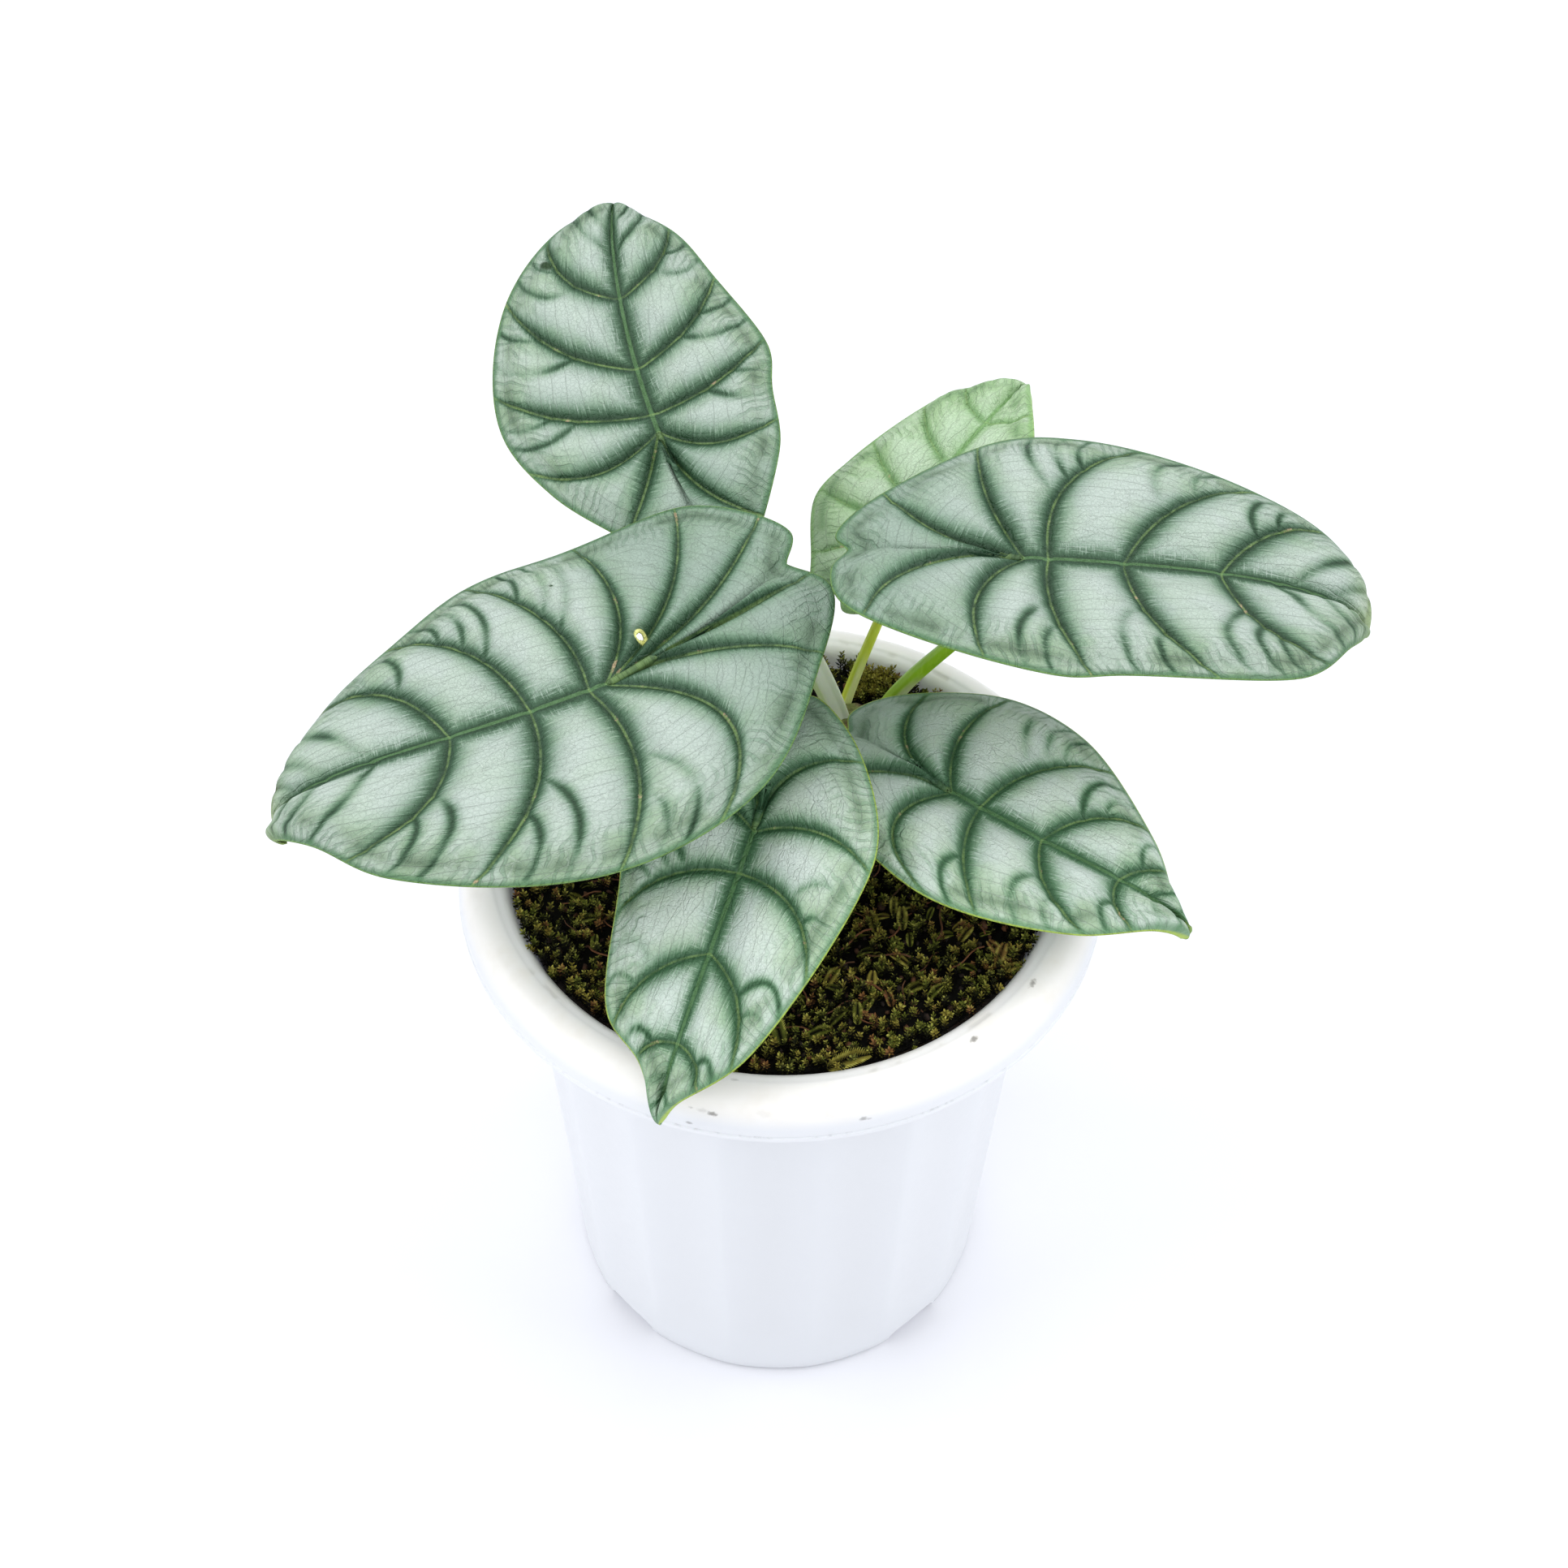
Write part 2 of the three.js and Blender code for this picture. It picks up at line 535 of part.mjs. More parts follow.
function addPiece(name, geometry, color, roughness) {
  const piece = new THREE.Mesh(geometry, new THREE.MeshStandardMaterial({ color, roughness, metalness: 0 }));
  piece.name = name;
  group.add(piece);
  return piece;
}

const leaves = Object.entries(LEAVES);
const sockets = leaves.map(([, leaf]) => solidOf(stalkGeometry(leaf, SEAT_GAP)));
const cutAll = (solid, cutters) => cutters.reduce((rest, cutter) => rest.subtract(cutter), solid);
const cormPocket = cormSolid(SEAT_GAP);
const tufts = Array.from({ length: TUFTS }, (_, number) => number).filter(clearOfCorm).map(tuft);
const tufted = tufts.reduce((mat, one) => mat.add(one), mossSolid());

addPiece('pot', geometryOf(potSolid()), 0xf1f3f8, 0.35);
addPiece('soil', geometryOf(soilSolid().subtract(cormPocket)), 0x2b1a10, 0.95);
addPiece('moss', geometryOf(cutAll(tufted, [cormPocket, ...sockets])), 0x5d6a1e, 0.9);
addPiece('corm', geometryOf(cutAll(cormSolid(0), sockets)), 0x6a5a3a, 0.8);

const BLADE_COLOURS = { a: 0x93b39c, b: 0x93b39c, c: 0xa6c596, d: 0x93b39c, e: 0x93b39c, f: 0x93b39c };
const STALK_COLOURS = { a: 0xd7e1b9, b: 0x86b03c, c: 0xbecd3c, d: 0x7db914, e: 0x86b03c, f: 0x86b03c };
for (const [letter, leaf] of leaves) {
  const blade = addPiece(`blade_${letter}`, bladeGeometry(leaf), BLADE_COLOURS[letter], 0.45);
  blade.rotation.copy(leafEuler(leaf));
  blade.position.set(...leaf.attach);
  addPiece(`petiole_${letter}`, stalkGeometry(leaf, 0), STALK_COLOURS[letter], 0.5);
}

export default group;
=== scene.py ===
"""A potted silver dragon alocasia: the finished look of its pot, soil, moss, corm, stalks and leaves.

Lengths in the tables are millimetres, as on the real plant. The meshes are in metres.
"""
import math
import random

import bmesh
import bpy
import numpy as np
from bpy.props import FloatProperty, FloatVectorProperty, IntProperty, PointerProperty
from mathutils import Matrix, Vector, noise


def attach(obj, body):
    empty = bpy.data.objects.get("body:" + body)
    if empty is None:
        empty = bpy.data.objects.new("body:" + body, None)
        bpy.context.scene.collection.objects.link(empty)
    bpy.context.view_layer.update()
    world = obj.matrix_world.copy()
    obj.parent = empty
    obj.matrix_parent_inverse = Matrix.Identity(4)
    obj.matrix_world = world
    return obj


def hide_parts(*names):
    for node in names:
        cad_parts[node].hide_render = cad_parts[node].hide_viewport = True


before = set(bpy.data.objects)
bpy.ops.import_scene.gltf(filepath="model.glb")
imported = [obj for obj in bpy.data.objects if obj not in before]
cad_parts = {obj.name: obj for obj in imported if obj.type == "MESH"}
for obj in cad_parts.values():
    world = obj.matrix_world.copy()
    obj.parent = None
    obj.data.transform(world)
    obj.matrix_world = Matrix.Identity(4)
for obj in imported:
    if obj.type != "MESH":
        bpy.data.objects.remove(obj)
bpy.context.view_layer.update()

bl_info = {
    "name": "Potted silver dragon alocasia",
    "version": (1, 0, 0),
    "blender": (4, 5, 0),
    "location": "3D View > Sidebar > Alocasia",
    "description": "Dresses a potted silver dragon alocasia, piece by piece",
    "category": "Object",
}

MM = 0.001
MIX_FACTOR, MIX_A, MIX_B, MIX_RESULT = 0, 6, 7, 2  # sockets of a Mix node set to colour
FAR = 99.0  # a distance that stands for "no vein on this side", in mm

# Pot, in mm. Angles round the pot are counted from the front towards +X.
LIP_BOTTOM = 136.4
CREASE_RADIUS = 67
FLUTED_FROM, FLUTED_TO = 1.5, 126
BODY_FOOT_RADIUS, BODY_TOP_RADIUS = 51.6, 61
FIRST_RIDGE = 9.4
FLOOR_THICKNESS = 3.5
HEEL_HEIGHT = 10
NOTCH_ANGLES = (-46.9, 43.1, 133.1, 223.1)
NOTCH_WIDTH, NOTCH_HEIGHT, NOTCH_BACK, NOTCH_DEPTH = 16, 3.8, 48.6, 8
ARCH_POWER = 0.6  # 1 is an ellipse; less gives the notch a flatter top and steeper ends

# Soil and moss, in mm
SOIL_RADIUS = 62
HEEL_INNER = 45.5
SOIL_EDGE, SOIL_CROWN = 142.4, 1.8
SEAT_GAP = 0.3
MOSS_THICKNESS, MOSS_HUMMOCK = 1.6, 1.5
GOLDEN_ANGLE = math.radians(137.508)
ANY_TURN = 6.3  # a full turn and a little more, in radians

# Corm, in mm
CORM_CENTRE = (15.5, 37)
CORM_RADIUS, CORM_BOTTOM, CORM_TOP = 11, 118, 149.6

# Leaves, in mm and degrees. The attachment is where the stalk meets the blade: from there the
# midrib runs forward for the reach to the tip and back to the notch. The outline is
# [distance along the midrib, half-width] from the notch's lobe to the tip. Veins are [distance
# along the midrib, left end, left bow, right end, right bow]: an end is a share of the margin's
# length from the tip, and a bow is a share of the chord. Blemishes are [along, beside, radius,
# strength].
LEAVES = {
    "a": {
        "attach": (-30, 78, 206), "yaw": 110, "pitch": 13, "roll": -15, "reach": 76.5, "notch": -32.5,
        "droop": 7, "tip_droop": 12, "back_droop": 9, "valley": 8, "curl": (13, 13),
        "twist": 5, "hook": 26, "sweep": -16,
        "left": [[-39, 7], [-23, 17], [-5, 29], [14, 35.5], [42, 29], [64, 14]],
        "right": [[-39.5, 5.5], [-18.5, 24.5], [0, 29], [12.5, 31.5], [42.5, 22.5], [58.5, 15.5]],
        "veins": [
            [40, 0.15, 0.19, 0.15, 0.17], [18.5, 0.29, 0.12, 0.31, 0.15],
            [5, 0.455, 0.1, 0.49, 0.12], [0, 0.6, 0.2, 0.67, 0.18], [0, 0.8, 0.06, 0.86, 0.1],
        ],
        "stalk": {"foot": (15.5, 37.5), "rise": 27, "drop": 16,
                  "radii": ((2.2, 2.2), (2.9, 1.7), (1.5, 1.5))},
        "blemishes": [[52.2, 16.5, 1.4, 1]],
    },
    "b": {
        "attach": (-39, 0, 203), "yaw": 210, "pitch": 0, "roll": 1, "reach": 93, "notch": -52.5,
        "droop": 16, "tip_droop": 46, "back_droop": -20, "valley": 6, "curl": (17, 16),
        "twist": 0, "hook": 56, "sweep": -37,
        "left": [[-53, 12.5], [-35, 27], [-11.5, 43.5], [18, 48], [53, 33.5], [69, 17.5]],
        "right": [[-60, 4.5], [-52, 30], [-9, 44], [20, 44], [48, 32.5], [75, 18]],
        "veins": [
            [36.5, 0.22, 0.19, 0.155, 0.2], [18, 0.365, 0.12, 0.28, 0.2],
            [4, 0.5, 0.11, 0.44, 0.17], [0, 0.6, 0.3, 0.635, 0.13], [0, 0.835, 0.16, 0.8, 0.06],
            [0, 0.965, 0.04, 0.91, 0.02],
        ],
        "stalk": {"foot": (10, 36), "rise": 24, "drop": 20,
                  "radii": ((2.2, 2.2), (2.2, 2.2), (1.6, 1.6))},
        "blemishes": [[-3.1, -30.8, 0.5, 1], [-13.4, -6.7, 3.6, 0.55]],
        "hole": {"at": (-13.4, -6.7), "radii": (1.15, 0.8)},
    },
    "c": {
        "attach": (27.5, 61.5, 194.5), "yaw": 50, "pitch": 15, "roll": -8, "reach": 54.5, "notch": -23.5,
        "droop": 10, "tip_droop": 14, "back_droop": 10, "valley": 8, "curl": (14, 14),
        "twist": -1, "hook": 32, "sweep": 11,
        "left": [[-27, 5], [-20, 12.5], [-5, 24], [9, 23.5], [31, 18], [43, 13]],
        "right": [[-27, 5], [-21, 14], [-6, 23.5], [11.5, 24], [29.5, 16.5], [45, 6]],
        "veins": [
            [34, 0.15, 0.15, 0.16, 0.15], [18, 0.27, 0.1, 0.3, 0.13], [4, 0.44, 0.06, 0.47, 0.1],
            [0, 0.63, 0.1, 0.65, 0.15], [0, 0.83, 0.1, 0.85, 0.1],
        ],
        "stalk": {"foot": (13.5, 43.5), "rise": 18, "drop": 16,
                  "radii": ((1.5, 1.5), (1.3, 1.3), (1, 1))},
        "blemishes": [],
    },
    "d": {
        "attach": (53.5, 29.5, 214), "yaw": -1, "pitch": -2, "roll": -5, "reach": 89, "notch": -39.5,
        "droop": 13, "tip_droop": 24, "back_droop": 0, "valley": 11, "curl": (13, 13),
        "twist": 8, "hook": 40, "sweep": 8,
        "left": [[-42.5, 3.5], [-35.5, 16], [-5.5, 39], [14.5, 40], [54.5, 27.5], [85.5, 12.5]],
        "right": [[-42.5, 9.5], [-38.5, 24.5], [4.5, 41], [18.5, 39], [59, 31], [76.5, 13]],
        "veins": [
            [45, 0.16, 0.11, 0.19, 0.21], [22.5, 0.27, 0.13, 0.37, 0.13],
            [5.5, 0.44, 0.2, 0.53, 0.09], [0, 0.69, 0.08, 0.66, 0.16], [0, 0.86, 0.12, 0.82, 0.2],
        ],
        "stalk": {"foot": (21, 39), "rise": 26, "drop": 18,
                  "radii": ((2.2, 2.2), (1.9, 1.9), (1.4, 1.4))},
        "blemishes": [],
    },
    "e": {
        "attach": (38.5, -3, 171.5), "yaw": -34, "pitch": -4, "roll": -3, "reach": 66.5, "notch": -30,
        "droop": 9, "tip_droop": 19, "back_droop": 9, "valley": 10, "curl": (13, 13),
        "twist": 2, "hook": 61, "sweep": 19,
        "left": [[-33, 4], [-29, 15], [-6.5, 32], [19, 32], [47, 14.5], [61, 0.5]],
        "right": [[-33, 5.5], [-28, 19], [-4.5, 28], [12.5, 30.5], [39, 21], [55.5, 7]],
        "veins": [
            [43, 0.13, 0.1, 0.16, 0.22], [23.5, 0.215, 0.16, 0.255, 0.15],
            [7.5, 0.35, 0.17, 0.43, 0.09], [0, 0.635, 0.16, 0.51, 0.3], [0, 0.8, 0.25, 0.78, 0.2],
        ],
        "stalk": {"foot": (19, 33), "rise": 14, "drop": 12,
                  "radii": ((2, 2), (1.8, 1.8), (1.4, 1.4))},
        "blemishes": [],
    },
    "f": {
        "attach": (-6, -22.5, 180), "yaw": 252, "pitch": -16, "roll": 4, "reach": 71.5, "notch": -36.5,
        "droop": 12, "tip_droop": 18, "back_droop": 8, "valley": 10, "curl": (12, 14),
        "twist": 3, "hook": 58, "sweep": -6,
        "left": [[-36, 4], [-25, 16.5], [-4, 28], [11.5, 28], [49.5, 16.5], [64.5, 3]],
        "right": [[-35.5, 6], [-27.5, 18.5], [-6, 36.5], [15.5, 26.5], [49.5, 17.5], [58, 7]],
        "veins": [
            [51, 0.11, 0.2, 0.12, 0.2], [30, 0.18, 0.16, 0.185, 0.15],
            [10.5, 0.37, 0.18, 0.37, 0.16], [0, 0.585, 0.15, 0.6, 0.18], [0, 0.8, 0.25, 0.8, 0.2],
        ],
        "stalk": {"foot": (12.5, 31.5), "rise": 16, "drop": 14,
                  "radii": ((2, 2), (1.8, 1.8), (1.4, 1.4))},
        "blemishes": [],
    },
}
LEAF_SIGNS = {"right": -1, "left": 1}
MARGIN_FROM = 0.78  # the share of the way out where the margin starts to turn down
HEM_LINE = 3.9  # how far in from the margin the main veins' ends join up, in mm
SPINE_STEPS = 240
HOOK_POWER = 9  # the higher it is, the nearer to its tip a leaf hooks down
UV_STEP = 200  # the leaves lie this far apart in the flat pattern, so that no two look the same
CALLUS = (LEAVES["b"]["hole"]["at"][0], LEAVES["b"]["hole"]["at"][1] + UV_STEP, 0)

# Stalks
STALK_FOOT = 138.5  # mm
SHEATH_SHARE = 0.3  # of the stalk's length
SHEATH_OPENS = 2.2  # the side where the sheath is open, in radians


# Colours and nodes
def linear(code):
    """An sRGB hex code as the linear colour that a shader works in."""
    channels = [int(code[i:i + 2], 16) / 255 for i in (0, 2, 4)]
    return [c / 12.92 if c <= 0.04045 else ((c + 0.055) / 1.055) ** 2.4 for c in channels]


def feed(tree, socket, value):
    """Links a signal to a socket, or sets the socket's own value."""
    if isinstance(value, Signal):
        tree.links.new(value.socket, socket)
    else:
        socket.default_value = value


def add_node(tree, kind, inputs=None, **settings):
    """Adds a node with its settings, and gives each named input a value or a link."""
    node = tree.nodes.new(kind)
    for name, value in settings.items():
        setattr(node, name, value)
    for name, value in (inputs or {}).items():
        feed(tree, node.inputs[name], value)
    return node


class Signal:
    """The output of a node. Each sign of arithmetic on it adds a Math node."""

    def __init__(self, tree, socket):
        self.tree = tree
        self.socket = socket

    def into(self, kind, inputs, output=0, **settings):
        """The output of a new node in the same tree."""
        return Signal(self.tree, add_node(self.tree, kind, inputs, **settings).outputs[output])

    def math(self, operation, first, second):
        return self.into("ShaderNodeMath", {0: first, 1: second}, operation=operation)

    def __add__(self, other):
        return self.math("ADD", self, other)

    def __sub__(self, other):
        return self.math("SUBTRACT", self, other)

    def __rsub__(self, other):
        return self.math("SUBTRACT", other, self)

    def __mul__(self, other):
        return self.math("MULTIPLY", self, other)

    def __truediv__(self, other):
        return self.math("DIVIDE", self, other)

    def __pow__(self, other):
        return self.math("POWER", self, other)

    def __rpow__(self, other):
        return self.math("POWER", other, self)

    def __abs__(self):
        return self.math("ABSOLUTE", self, 0)

    def fade(self, start, end, low=0.0, high=1.0):
        """Goes smoothly from low to high as the signal goes from start to end."""
        inputs = {"Value": self, "From Min": start, "From Max": end, "To Min": low, "To Max": high}
        return self.into("ShaderNodeMapRange", inputs, interpolation_type="SMOOTHSTEP")

    def grain(self, scale, detail=3.0, roughness=0.6):
        """Cloudy noise over a place, with this many lumps to a unit of length."""
        inputs = {"Vector": self, "Scale": scale, "Detail": detail, "Roughness": roughness}
        return self.into("ShaderNodeTexNoise", inputs, "Fac")


def least(first, second):
    return first.math("MINIMUM", first, second)


def most(first, *others):
    for other in others:
        first = first.math("MAXIMUM", first, other)
    return first


def blend(factor, *colours):
    """Mixes two colours, each of them a signal, a hex code or three linear values."""
    inputs = {MIX_FACTOR: factor}
    for socket, colour in zip((MIX_A, MIX_B), colours):
        if isinstance(colour, str):
            colour = linear(colour)
        inputs[socket] = colour if isinstance(colour, Signal) else (*colour, 1)
    return factor.into("ShaderNodeMix", inputs, MIX_RESULT, data_type="RGBA")


class Finish:
    """A material in the making."""

    def __init__(self, name):
        self.material = bpy.data.materials.new(name)
        self.material.use_nodes = True
        self.tree = self.material.node_tree

    def node(self, kind, inputs=None, output=0, **settings):
        return Signal(self.tree, add_node(self.tree, kind, inputs, **settings).outputs[output])

    def done(self, inputs):
        """Feeds the shader's inputs and gives the material."""
        shader = self.tree.nodes["Principled BSDF"]
        for name, value in inputs.items():
            feed(self.tree, shader.inputs[name], value)
        return self.material


# Meshes
def deselect_all():
    bpy.ops.object.select_all(action="DESELECT")


def named(name):
    piece = bpy.context.object
    piece.name = name
    piece.data.name = name
    return piece


def move_vertices(piece, points):
    """Moves a piece's vertices to new places, given in mm."""
    flat = (np.asarray(points, float).reshape(-1) * MM).astype(np.float32)
    piece.data.vertices.foreach_set("co", flat)
    piece.data.update()


def vertex_places(piece):
    """A piece's vertices, in mm."""
    places = np.empty(len(piece.data.vertices) * 3, np.float32)
    piece.data.vertices.foreach_get("co", places)
    return places.reshape(-1, 3).astype(float) / MM


def add_grid(name, points):
    """A grid primitive bent to a table of points in mm, one row of points after another."""
    rows, columns = points.shape[:2]
    deselect_all()
    bpy.ops.mesh.primitive_grid_add(x_subdivisions=columns - 1, y_subdivisions=rows - 1, calc_uvs=False)
    piece = named(name)
    move_vertices(piece, points)
    return piece


def add_turned(name, profile, sides):
    """A disc extruded ring by ring through a profile of radius and height in mm, and closed."""
    deselect_all()
    first_radius, first_height = profile[0]
    bpy.ops.mesh.primitive_circle_add(
        vertices=sides, radius=first_radius * MM, fill_type="NGON", location=(0, 0, first_height * MM))
    piece = named(name)
    bpy.ops.object.transform_apply(location=True)
    bpy.ops.object.mode_set(mode="EDIT")
    bpy.ops.mesh.select_all(action="SELECT")
    bpy.ops.mesh.flip_normals()
    bpy.ops.mesh.select_mode(type="EDGE")
    bpy.ops.mesh.select_all(action="SELECT")
    radius, height = first_radius, first_height
    for next_radius, next_height in profile[1:]:
        lift = (0, 0, (next_height - height) * MM)
        bpy.ops.mesh.extrude_edges_move(TRANSFORM_OT_translate={"value": lift})
        share = next_radius / radius
        bpy.ops.transform.resize(value=(share, share, 1), center_override=(0, 0, next_height * MM))
        radius, height = next_radius, next_height
    bpy.ops.mesh.edge_face_add()
    bpy.ops.mesh.select_all(action="SELECT")
    bpy.ops.mesh.normals_make_consistent(inside=False)
    bpy.ops.object.mode_set(mode="OBJECT")
    return piece


def activate(piece):
    """Makes a piece the only selected one, and the active one."""
    deselect_all()
    piece.select_set(True)
    bpy.context.view_layer.objects.active = piece


def merge_doubles(piece):
    activate(piece)
    bpy.ops.object.mode_set(mode="EDIT")
    bpy.ops.mesh.select_all(action="SELECT")
    bpy.ops.mesh.remove_doubles(threshold=0.001 * MM)
    bpy.ops.object.mode_set(mode="OBJECT")


def apply_modifier(piece, kind, **settings):
    modifier = piece.modifiers.new(kind.title(), kind)
    for name, value in settings.items():
        setattr(modifier, name, value)
    activate(piece)
    bpy.ops.object.modifier_apply(modifier=modifier.name)


def add_values(piece, **attributes):
    """Stores values on a piece's vertices, for its material to read."""
    for key, values in attributes.items():
        layer = piece.data.attributes.new(key, "FLOAT", "POINT")
        layer.data.foreach_set("value", np.asarray(values, np.float32).reshape(-1))


def repeat_shape(name, vertices, faces, spots, **attributes):
    """One mesh of many copies of a small shape, each with its own matrix and attribute values."""
    count, size = len(spots), len(vertices)
    turned = np.einsum("nij,vj->nvi", spots[:, :3, :3], vertices) + spots[:, None, :3, 3]
    mesh = bpy.data.meshes.new(name)
    corners = len(faces[0])
    mesh.vertices.add(count * size)
    mesh.vertices.foreach_set("co", (turned.reshape(-1) * MM).astype(np.float32))
    index = (np.asarray(faces)[None] + (np.arange(count) * size)[:, None, None]).reshape(-1)
    mesh.loops.add(len(index))
    mesh.loops.foreach_set("vertex_index", index.astype(np.int32))
    mesh.polygons.add(len(index) // corners)
    mesh.polygons.foreach_set("loop_start", np.arange(0, len(index), corners, dtype=np.int32))
    mesh.update(calc_edges=True)
    piece = bpy.data.objects.new(name, mesh)
    bpy.context.scene.collection.objects.link(piece)
    add_values(piece, **attributes)
    return piece


def dress(piece, slot, materials, *nodes):
    """Gives a finished piece its materials and its place in the frame."""
    piece.data.materials.clear()
    for material in materials:
        piece.data.materials.append(material)
    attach(piece, "root")
    if nodes:
        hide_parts(*nodes)


def smooth(piece):
    piece.data.shade_smooth()


# Pot
def body_radius(z):
    return np.interp(z, (FLUTED_FROM, FLUTED_TO), (BODY_FOOT_RADIUS, BODY_TOP_RADIUS))


def curve_through(points, steps):
    """A smooth line through points, as a centripetal Catmull-Rom curve."""
    points = np.asarray(points, float)
    ends = np.vstack([2 * points[0] - points[1], points, 2 * points[-1] - points[-2]])
    line = []
    for before, here, there, after in zip(ends, ends[1:], ends[2:], ends[3:]):
        first, middle, last = (
            max(np.linalg.norm(q - p) ** 0.5, 1e-6)
            for p, q in ((before, here), (here, there), (there, after)))
        leave = (here - before) / first - (there - before) / (first + middle) + (there - here) / middle
        arrive = (there - here) / middle - (after - here) / (middle + last) + (after - there) / last
        leave, arrive = leave * middle, arrive * middle
        t = np.linspace(0, 1, steps, endpoint=False)[:, None]
        square = -3 * here + 3 * there - 2 * leave - arrive
        cube = 2 * here - 2 * there + leave + arrive
        line.append(here + leave * t + square * t ** 2 + cube * t ** 3)
    line.append(points[-1:])
    return np.vstack(line)


def pot_profile(wall, flute_depth):
    """Radius and height up the outside, over the rolled rim and down the inside."""
    inner = [[body_radius(z) - flute_depth - wall, z] for z in (FLUTED_TO, 60, HEEL_HEIGHT)]
    foot = curve_through([[49.8, 0], [51, 0.35], [BODY_FOOT_RADIUS, FLUTED_FROM]], 3)
    body = [[body_radius(z), z] for z in np.linspace(4, 122, 30)]
    neck = curve_through([[61.1, 126], [61.5, 130], [62.4, 140], [64.6, 144.2], [68.6, 145.8],
                          [72.2, 143.6], [74, 139.4], [74.2, LIP_BOTTOM + 0.3]], 4)
    lip = [[74.5, LIP_BOTTOM], [75.2, LIP_BOTTOM], [75.5, LIP_BOTTOM + 0.3], [75.5, LIP_BOTTOM + 1.3],
           [75.15, LIP_BOTTOM + 1.6], [75.15, LIP_BOTTOM + 1.8]]
    roll = curve_through([[75.4, LIP_BOTTOM + 2.1], [75.2, 140.4], [74.6, 142.8], [72.6, 146],
                          [70, 147.6], [68, 148], [CREASE_RADIUS, 147.75]], 5)
    shoulder = curve_through([[66.7, 147.7], [65.8, 147.5], [64.8, 146.9], [63.9, 145.6], [63.3, 144],
                              [62.6, 142], [61, 136], [59.6, 130]], 4)
    heel = curve_through([inner[-1], [48.2, 6], [46, 4.5], [43, FLOOR_THICKNESS]], 3)
    return [*foot, *body, *neck, *lip, *roll, *shoulder, *inner[:-1], *heel]


def flute_pot(pot, flutes, depth):
    """Draws the outside of the body in to shallow concave flutes that die out under the rim."""
    places = vertex_places(pot)
    height = places[:, 2]
    radius = np.hypot(places[:, 0], places[:, 1])
    angle = np.degrees(np.arctan2(places[:, 0], -places[:, 1]))
    pitch = 360 / flutes
    phase = ((angle - FIRST_RIDGE) % pitch) / pitch
    outside = radius > body_radius(np.clip(height, 0, FLUTED_TO)) - 2.2
    fluted = outside & (height < FLUTED_TO + 6) & (height > 0.2)
    fade_out = 1 - np.clip((height - (FLUTED_TO - 5)) / 9, 0, 1)
    ridge = np.sqrt(np.sin(math.pi * phase) ** 2 + 0.0016) - 0.04  # a moulded ridge isn't a knife edge
    shallow = np.clip(height / 22, 0.15, 1)  # the foot itself is nearly round
    inward = depth * ridge * fade_out * shallow * fluted
    share = (radius - inward) / np.maximum(radius, 1)
    places[:, :2] *= share[:, None]
    move_vertices(pot, places)


def cut_notches(pot):
    """Cuts the four arched notches out of the foot's edge."""
    shape = Matrix.Diagonal((NOTCH_WIDTH / 2 * MM, NOTCH_HEIGHT * MM, NOTCH_DEPTH * MM, 1))
    for angle in NOTCH_ANGLES:
        deselect_all()
        bpy.ops.mesh.primitive_cylinder_add(vertices=64, radius=1, depth=1)
        cutter = named("notch_cutter")
        for vertex in cutter.data.vertices:
            for axis in (0, 1):
                share = vertex.co[axis]
                vertex.co[axis] = math.copysign(abs(share) ** ARCH_POWER, share)
        turn = math.radians(angle)
        upright = Matrix.Rotation(turn, 4, "Z") @ Matrix.Rotation(math.pi / 2, 4, "X")
        middle = Vector((math.sin(turn), -math.cos(turn), 0)) * (NOTCH_BACK + NOTCH_DEPTH / 2) * MM
        cutter.data.transform(Matrix.Translation(middle) @ upright @ shape)
        apply_modifier(pot, "BOOLEAN", object=cutter, operation="DIFFERENCE", solver="EXACT")
        bpy.data.objects.remove(cutter)


# Dark marks on the rim: [x, y, height, radius, strength]
RIM_MARKS = [
    [-19, -71.4, 143.9, 0.45, 0.5], [-14.3, -72.8, 143.5, 0.75, 0.65], [-16.6, -72.2, 143.8, 0.8, 0.2],
    [-19.7, -72.6, 139.7, 0.6, 0.5], [18.6, -72.4, 141.8, 0.7, 0.5], [20.2, -72.2, 141.5, 0.45, 0.3],
    [-3.3, -73.4, 144.6, 1.3, 0.07], [10, -73, 144.3, 1.7, 0.06], [43.2, -54.8, 147.6, 0.9, 0.7],
    [56.8, -39.3, 147.8, 0.9, 0.6],
    [-9.6, -66.8, 147.9, 0.6, 0.3], [-61, -41, 145.9, 0.6, 0.25], [49, 52, 145.5, 0.8, 0.4],
    [-66, 31, 144.5, 0.7, 0.3], [3, 70.5, 147.2, 0.8, 0.4],
]


def rim_marks(finish, place, ragged):
    """How dark the rim is with the marks on it: smudges twice as long along the rim as across."""
    spots = []
    for x, y, height, radius, strength in RIM_MARKS:
        mark = finish.node("ShaderNodeMapping", {
            "Vector": place, "Location": (x * MM, y * MM, height * MM),
            "Rotation": (0, 0, math.atan2(x, -y)),
            "Scale": (1.6 * radius * MM, 0.8 * radius * MM, 0.8 * radius * MM),
        }, vector_type="TEXTURE")
        share = finish.node("ShaderNodeVectorMath", {0: mark}, "Value", operation="LENGTH")
        spots.append((share + ragged).fade(1.2, 0.3, 0.0, strength))
    return most(*spots)


